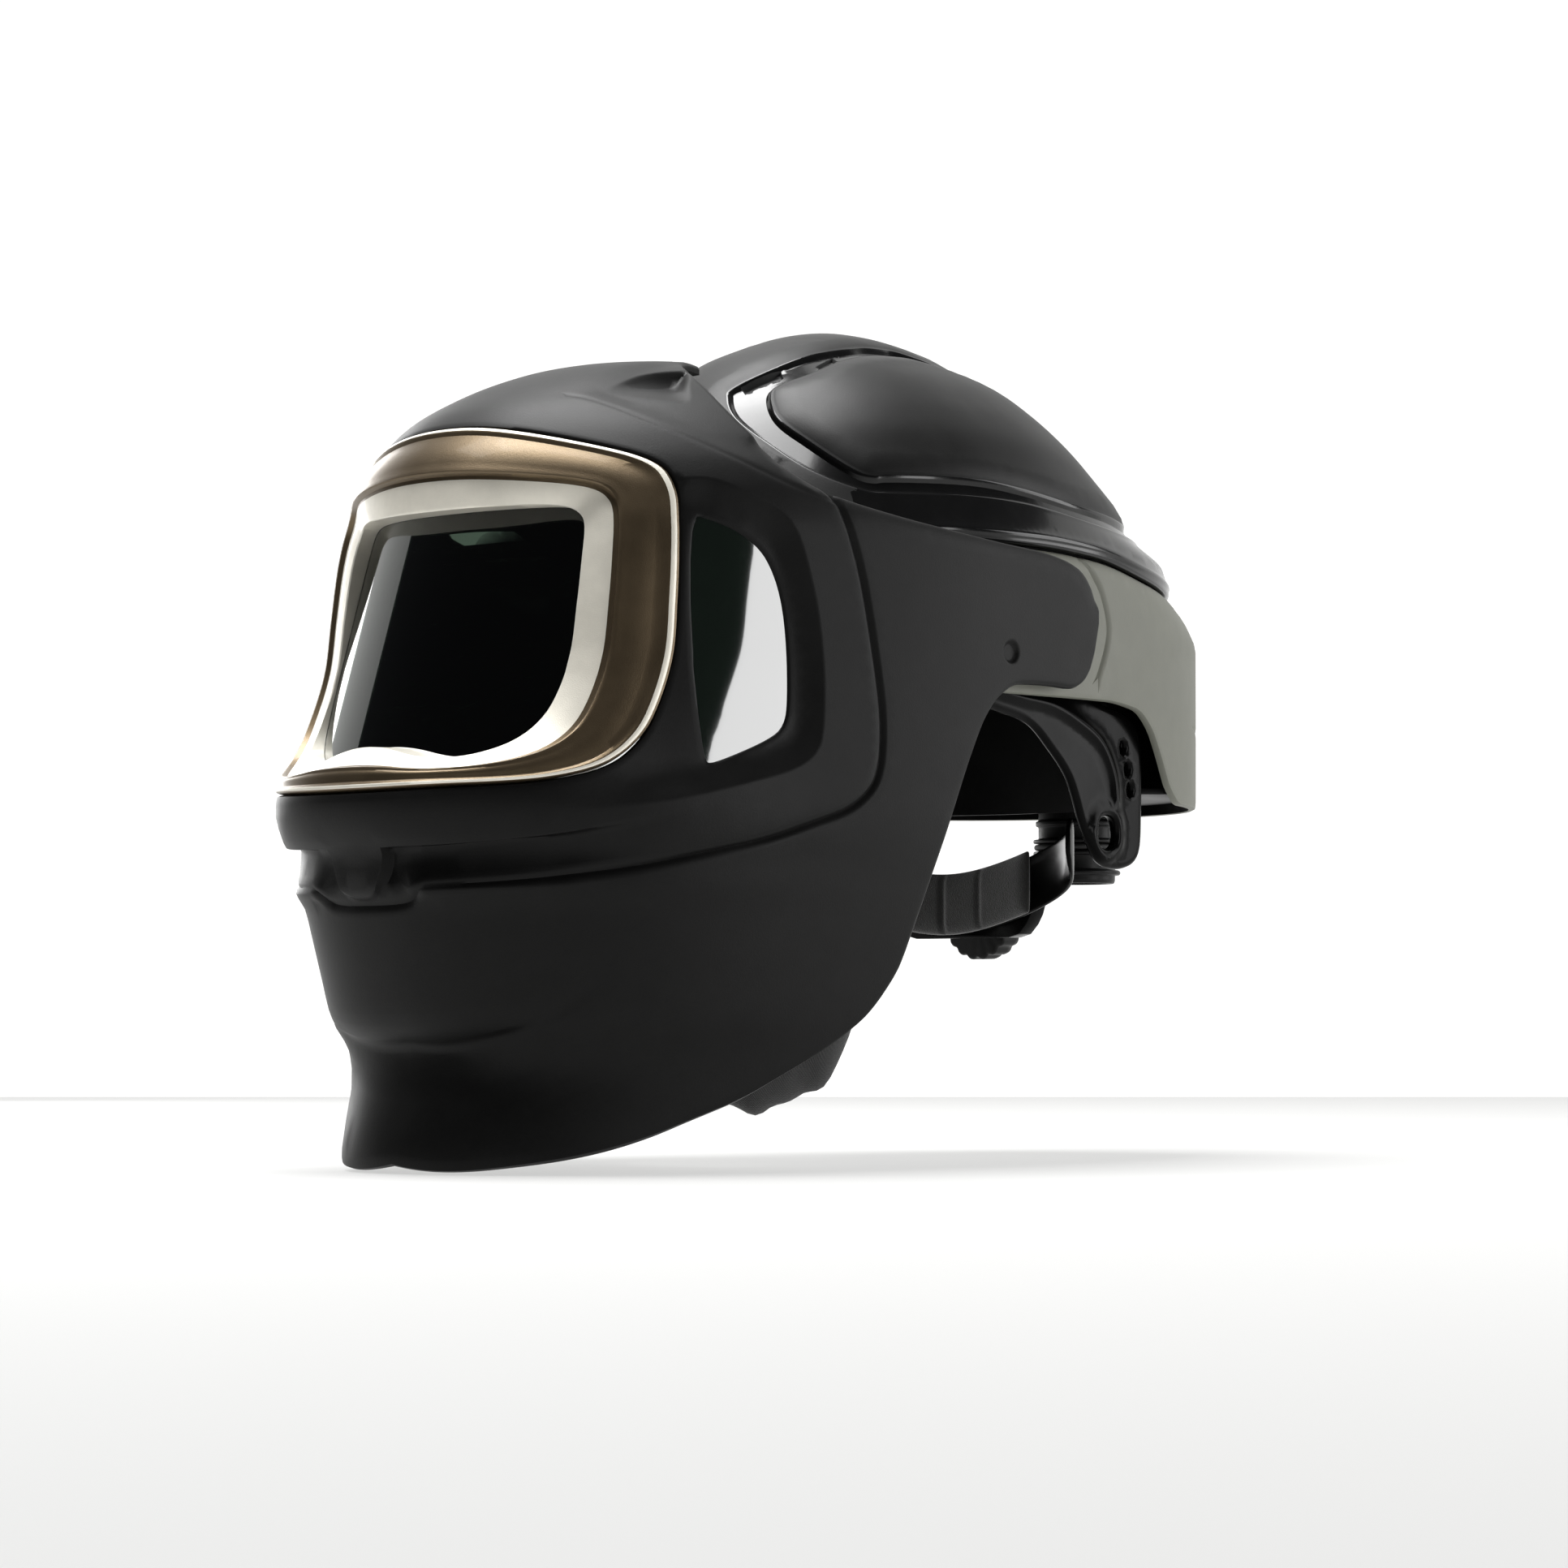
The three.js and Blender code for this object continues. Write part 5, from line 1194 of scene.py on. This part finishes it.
def strap(name, curve, height, thick, mats, n=140, holes=None, power=5.0, m=28, taper=None):
    """swept strap with softly rounded edges; thick is signed, from the curve outwards or inwards"""
    t = np.linspace(0, 1, n)
    P = curve(t)
    d = unit(np.gradient(P, axis=0) * np.array([1, 1, 0]))
    nrm = np.stack([d[:, 1], -d[:, 0], np.zeros(n)], 1)
    ang = np.linspace(0, 2 * math.pi, m, endpoint=False)
    cu, sv = np.cos(ang), np.sin(ang)
    u = np.sign(cu) * np.abs(cu) ** (2 / power) * height / 2
    w = np.sign(sv) * np.abs(sv) ** (2 / 3.0) * abs(thick) / 2
    V = []
    for i in range(n):
        k = 1 if taper is None else taper(t[i])
        c = P[i] + nrm[i] * thick / 2
        for j in range(m):
            V.append(c + np.array([0, 0, 1]) * u[j] * k + nrm[i] * w[j])
    F = []
    for i in range(n - 1):
        for j in range(m):
            j2 = (j + 1) % m
            F.append((i * m + j, i * m + j2, (i + 1) * m + j2, (i + 1) * m + j))
    F.append(tuple(range(m))[::-1])
    F.append(tuple((n - 1) * m + j for j in range(m)))
    ob = make(name, V, F, mats, None, True, 40)
    fix_normals(ob)
    return ob


tip = lambda t: min(1, 0.5 + 0.5 * math.sqrt(max(0, 1 - (1 - min(1, min(t, 1 - t) / 0.03)) ** 2)))
finish_piece(strap("headband_fine", arc_curve(84, 96, 28, 20, 24, -112, 112), 26, 1.8, [M["inner"]], 180, taper=tip), "helmet", "strap_black", "headband")
finish_piece(strap("nape_band_fine", arc_curve(83.6, 42, 58, -66, -88, 97, 263), 22, 2.0, [M["arm"]], 160, taper=tip), "helmet", "arm_gloss", "nape_band")
finish_piece(strap("air_deflector_fine", arc_curve(91, 106.5, 28, 43, 47, -48, 48), 9, -1.6, [M["inner"]], 90), "helmet", "inner_black", "air_deflector")


def web(name, fn, width, thick, axis, n=120):
    """crown strap: fn(t, thickness offset) gives the centre line, axis the direction of its width"""
    t = np.linspace(0, math.pi, n)
    m = 22
    ang = np.linspace(0, 2 * math.pi, m, endpoint=False)
    cu, sv = np.cos(ang), np.sin(ang)
    u = np.sign(cu) * np.abs(cu) ** 0.35 * width / 2
    w = (np.sign(sv) * np.abs(sv) ** 0.6 + 1) / 2
    V = []
    for i in range(n):
        a, b = fn(t[i], 0), fn(t[i], thick)
        for j in range(m):
            p = np.array(a) * w[j] + np.array(b) * (1 - w[j])
            p[axis] += u[j]
            V.append(p)
    F = []
    for i in range(n - 1):
        for j in range(m):
            j2 = (j + 1) % m
            F.append((i * m + j, i * m + j2, (i + 1) * m + j2, (i + 1) * m + j))
    F.append(tuple(range(m))[::-1])
    F.append(tuple((n - 1) * m + j for j in range(m)))
    ob = make(name, V, F, [M["strap"]], None, True, 50)
    fix_normals(ob)
    return ob


finish_piece(web("crown_strap_side_fine", lambda t, k: ((90 - k) * math.cos(t), 28, 22 + (88 - k) * math.sin(t) ** 0.9), 22, 1.8, 1), "helmet", "strap_black", "crown_strap_side")
finish_piece(web("crown_strap_long_fine", lambda t, k: (0, 28 + ((101.8 if math.cos(t) < 0 else 108) - k) * math.cos(t), 26 + (80.6 - k) * math.sin(t)), 22, 1.8, 0),
             "helmet", "strap_black", "crown_strap_long")

armOutline = [[-6, -4], [20, -6], [48, -6], [76, -13.5], [93, -17], [102, -22], [105, -34], [105, -52], [103, -70], [92, -76], [76, -74], [66, -62], [60, -50], [55, -42],
              [45, -33.5], [30, -24], [8, -20], [-6, -17]]


def build_arm(side, s):
    out = smooth_line(armOutline, True, 6)
    slot = smooth_line([[74, -66], [75.5, -57.5], [84.5, -57.5], [86, -66], [80, -69]], True, 6)
    rib = smooth_line([[4, -12], [24, -14.5], [44, -16.5], [62, -22], [76, -29], [84, -40], [86, -50]], False, 8)
    holes = [slot]
    for cy, cz in ((92, -30), (95, -38), (96.5, -46)):
        t = np.linspace(0, 2 * math.pi, 20, endpoint=False)
        holes.append(np.stack([cy + 1.8 * np.cos(t), cz + 2.6 * np.sin(t)], 1))
    v, f, loops = triangulate(out, holes, [rib], 2.6, edge_offsets=(0.35, 0.9, 1.8, 3.0))
    de = np.full(len(v), 1e9)
    for L in loops:
        de = np.minimum(de, dist(L, v, True))
    dr = dist(rib, v)
    r = 2.0
    h = np.where(de < r, np.sqrt(np.maximum(r * r - (r - de) ** 2, 0)), r) / r
    x_out = 1.7 + 2.0 * h + 1.2 * np.exp(-(dr / 2.6) ** 2)
    boss = np.linalg.norm(v - np.array([80, -62.5]), axis=1)
    x_out += 1.2 * (1 - sstep(boss, 10.5, 12.5))
    x_in = 1.7 - 1.7 * h
    def place(x):
        p = np.stack([x, v[:, 0] - 60, v[:, 1]], 1)
        c, sn = math.cos(5.3 * D2R), math.sin(5.3 * D2R)
        q = np.stack([p[:, 0] * c - p[:, 1] * sn + 90.2, p[:, 0] * sn + p[:, 1] * c + 60, p[:, 2]], 1)
        q[:, 0] *= s
        return q
    ob = closed_shell("suspension_arm_%s_fine" % side, place(x_out), place(x_in), f, [M["arm"]], sharp=40)
    fix_normals(ob)
    finish_piece(ob, "helmet", "arm_gloss", "suspension_arm_" + side)


build_arm("left", 1)
build_arm("right", -1)


# ------------------------------------------------------------ soft pieces
def cloth(ob, pressure, pins, frames, gravity, cap, quality=5, tension=12.0, bend=0.4, mass=0.18):
    """runs a short cloth simulation and keeps the result, with no point moved more than cap (m)"""
    rest = np.array([v.co for v in ob.data.vertices])
    if pins is not None:
        g = ob.vertex_groups.new(name="hold")
        for i, wgt in enumerate(pins):
            if wgt > 0:
                g.add([i], float(wgt), "REPLACE")
    m = ob.modifiers.new("cloth", "CLOTH")
    s = m.settings
    s.quality = quality
    s.mass = mass
    s.tension_stiffness = tension
    s.compression_stiffness = tension
    s.shear_stiffness = 4
    s.bending_stiffness = bend
    s.use_pressure = pressure != 0
    s.uniform_pressure_force = pressure
    s.effector_weights.gravity = gravity
    if pins is not None:
        s.vertex_group_mass = "hold"
        s.pin_stiffness = 1
    m.collision_settings.use_self_collision = False
    m.point_cache.frame_start = 1
    m.point_cache.frame_end = frames
    sc = bpy.context.scene
    sc.frame_start, sc.frame_end = 1, frames
    for fr in range(1, frames + 1):
        sc.frame_set(fr)
    dg = bpy.context.evaluated_depsgraph_get()
    ev = ob.evaluated_get(dg)
    co = np.array([v.co for v in ev.data.vertices])
    ob.modifiers.clear()
    sc.frame_set(1)
    if len(co) == len(rest) and np.isfinite(co).all():
        d = co - rest
        l = np.linalg.norm(d, axis=1, keepdims=True)
        d = d * np.minimum(1, cap / np.maximum(l, 1e-9))
        for i, v in enumerate(ob.data.vertices):
            v.co = rest[i] + d[i]
        ob.data.update()
    return ob


def subdivide(ob, lv=1):
    s = ob.modifiers.new("s", "SUBSURF")
    s.levels = lv
    s.render_levels = lv
    apply_mods(ob)
    ob.data.polygons.foreach_set("use_smooth", np.ones(len(ob.data.polygons), bool))
    return ob


def pad(name, curve, height, thick, n, rows, quilts):
    """closed pad with a stitched line round it and quilting seams across, held along the seams and blown up between them"""
    t = np.linspace(0, 1, n)
    P = curve(t)
    d = unit(np.gradient(P, axis=0) * np.array([1, 1, 0]))
    nrm = np.stack([d[:, 1], -d[:, 0], np.zeros(n)], 1)
    V, pin = [], []
    hs = np.linspace(-1, 1, rows)
    for layer in (0, 1):
        for i in range(n):
            for h in hs:
                e = (1 - abs(h) ** 6) * (1 - abs(2 * t[i] - 1) ** 40)
                seam = min(abs(t[i] - q) for q in quilts) * n < 0.6
                off = thick * (0.5 + (0.5 if layer else -0.5) * (0.25 + 0.75 * e) * (0.55 if seam else 1.0))
                V.append(P[i] + nrm[i] * off + np.array([0, 0, h * height / 2]))
                edge = abs(h) > 0.93 or i in (0, n - 1)
                pin.append(1.0 if edge or seam or layer == 0 else 0.0)
    F = []
    for i in range(n - 1):
        for j in range(rows - 1):
            a = i * rows + j
            F.append((a, a + 1, a + rows + 1, a + rows))
            b = a + n * rows
            F.append((b, b + rows, b + rows + 1, b + 1))
    N_ = n * rows
    for i in range(n - 1):
        a = i * rows
        F.append((a, a + rows, a + rows + N_, a + N_))
        a = i * rows + rows - 1
        F.append((a + rows, a, a + N_, a + rows + N_))
    for j in range(rows - 1):
        F.append((j + 1, j, j + N_, j + 1 + N_))
        a = (n - 1) * rows + j
        F.append((a, a + 1, a + 1 + N_, a + N_))
    ob = make(name, V, F, [M["pad"]], None, True, None)
    fix_normals(ob)
    cloth(ob, 4.0, pin, 20, 0.0, 0.0016)
    subdivide(ob)
    return ob


p1 = pad("sweatband_fine", arc_curve(81.4, 93.4, 28, 23.5, 24.2, -62, 62), 30, -5, 90, 17, [0.16, 0.33, 0.5, 0.67, 0.84])
finish_piece(p1, "helmet", "pad_fabric", "sweatband")
p2 = pad("nape_pad_fine", arc_curve(80, 37.6, 58, -80, -88, 122, 238), 24, -5, 60, 15, [0.25, 0.5, 0.75])
finish_piece(p2, "helmet", "pad_fabric", "nape_pad")


def build_seal():
    n, rows = 121, 33
    al = np.linspace(-80, 80, n)
    A = np.abs(al)
    el = (visorLow(A) + 4.5) * D2R
    P = reach(visorSurf, O, al * D2R, el)
    Nn = normals(visorSurf, O, al * D2R, el)
    e = P - Nn * 5.2
    s, c = np.sin(al * D2R), np.cos(al * D2R)
    g = np.stack([70 * s, 2 - 76 * c, table([[0, -136], [30, -132], [55, -112], [75, -70], [90, -30]])(A)], 1)
    sag = table([[0, 12], [25, 20], [40, 36], [52, 40], [62, 26], [75, 7], [90, 1.5]])(A)
    V, pin = [], []
    for r in range(rows):
        t = r / (rows - 1)
        b = math.sin(math.pi * t)
        q = e + (g - e) * t
        fold = 0.9 * b * np.sin(al * 0.42 + 2.2 * t) + 0.5 * b * np.sin(al * 0.97 - 3 * t)
        out = np.stack([s * 0.22 * b * sag, -c * 0.22 * b * sag, -b * sag + 1.2 + fold], 1)
        V.append(q + out)
        pin += [1.0 if r in (0, rows - 1) else 0.0] * n
    V = np.vstack(V)
    F = []
    for r in range(rows - 1):
        for k in range(n - 1):
            a = r * n + k
            F.append((a, a + 1, a + n + 1, a + n))
    ob = make("face_seal_fine", V, F, [M["seal"]], None, True, None)
    cloth(ob, 0, pin, 20, 0.6, 0.003, tension=25, bend=0.15, mass=0.2)
    bm = bmesh.new()
    bm.from_mesh(ob.data)
    area = sum(f_.calc_area() for f_ in bm.faces)
    bm.free()
    so = ob.modifiers.new("t", "SOLIDIFY")
    so.thickness = 0.0011
    so.offset = 0
    apply_mods(ob)
    fix_normals(ob)
    ob.data.polygons.foreach_set("use_smooth", np.ones(len(ob.data.polygons), bool))
    finish_piece(ob, "visor", "seal_fabric", "face_seal")


build_seal()


# ------------------------------------------------------------ stage, lights, camera
def stage():
    floor_z = -0.1868
    prof = [(-3.2, 0.0), (1.6, 0.0)]
    for k in range(1, 13):
        t = k / 12 * math.pi / 2
        prof.append((1.6 + 1.2 * math.sin(t), 1.2 * (1 - math.cos(t))))
    prof.append((2.8, 4.0))
    # runs away from the camera
    d = Vector((-0.682, 0.7314, 0))
    r = Vector((0.7314, 0.682, 0))
    V, F = [], []
    for y, z in prof:
        for x in (-5, 5):
            p = d * y + r * x
            V.append((p.x * 1000, p.y * 1000, (z + floor_z) * 1000))
    for i in range(len(prof) - 1):
        F.append((2 * i, 2 * i + 1, 2 * i + 3, 2 * i + 2))
    m = bpy.data.materials.new("stage_pale")
    m.use_nodes = True
    b = m.node_tree.nodes["Principled BSDF"]
    b.inputs["Base Color"].default_value = (0.25, 0.25, 0.247, 1)
    b.inputs["Roughness"].default_value = 0.9
    b.inputs["Specular IOR Level"].default_value = 0.1
    b.inputs["Emission Color"].default_value = (1, 1, 0.99, 1)
    b.inputs["Emission Strength"].default_value = 0.56
    m2 = m.copy()
    m2.name = "stage_back"
    m2.node_tree.nodes["Principled BSDF"].inputs["Emission Strength"].default_value = 0.95
    ob = make("stage_floor", V, F, [m, m2], [0] + [1] * (len(F) - 1), True, None)
    fix_normals(ob)


stage()


def area_light(name, loc, target, size, power, size_y=None, colour=(1, 1, 1)):
    l = bpy.data.lights.new(name, "AREA")
    l.shape = "RECTANGLE"
    l.size = size
    l.size_y = size_y or size
    l.energy = power
    l.color = colour
    o = bpy.data.objects.new(name, l)
    bpy.context.scene.collection.objects.link(o)
    o.location = loc
    o.rotation_euler = (Vector(target) - Vector(loc)).to_track_quat("-Z", "Y").to_euler()
    return o


area_light("key_top", (-0.20, -0.10, 1.35), (0, 0, 0.05), 1.1, 44, 0.9)
area_light("left_front", (-0.65, -0.75, 1.35), (0, -0.12, 0.0), 0.5, 8, 0.5)
area_light("left_rim", (-1.35, 0.40, 0.35), (0, -0.12, 0.0), 0.5, 8, 0.9)
area_light("right_back", (1.0, 1.25, 0.35), (0.05, 0.1, 0.0), 0.6, 9, 1.1)
area_light("window_card", (1.44, 0.28, 0.12), (0.1, -0.1, 0), 0.42, 6.6, 0.8)

w = bpy.data.worlds.new("studio")
bpy.context.scene.world = w
w.use_nodes = True
w.node_tree.nodes["Background"].inputs[0].default_value = (0.9, 0.93, 1.0, 1)
w.node_tree.nodes["Background"].inputs[1].default_value = 0.045

cam = bpy.data.cameras.new("camera")
co = bpy.data.objects.new("camera", cam)
bpy.context.scene.collection.objects.link(co)
co.location = (1.1919, -1.2781, -0.1356)
back = co.location - Vector((0, 0, -0.044))
co.rotation_euler = (-back).to_track_quat("-Z", "Y").to_euler()
cam.lens = 105.97
cam.sensor_width = 36
cam.clip_start = 0.05
cam.clip_end = 30
bpy.context.scene.camera = co
bpy.context.scene.view_settings.view_transform = "Standard"
bpy.context.scene.view_settings.look = "None"
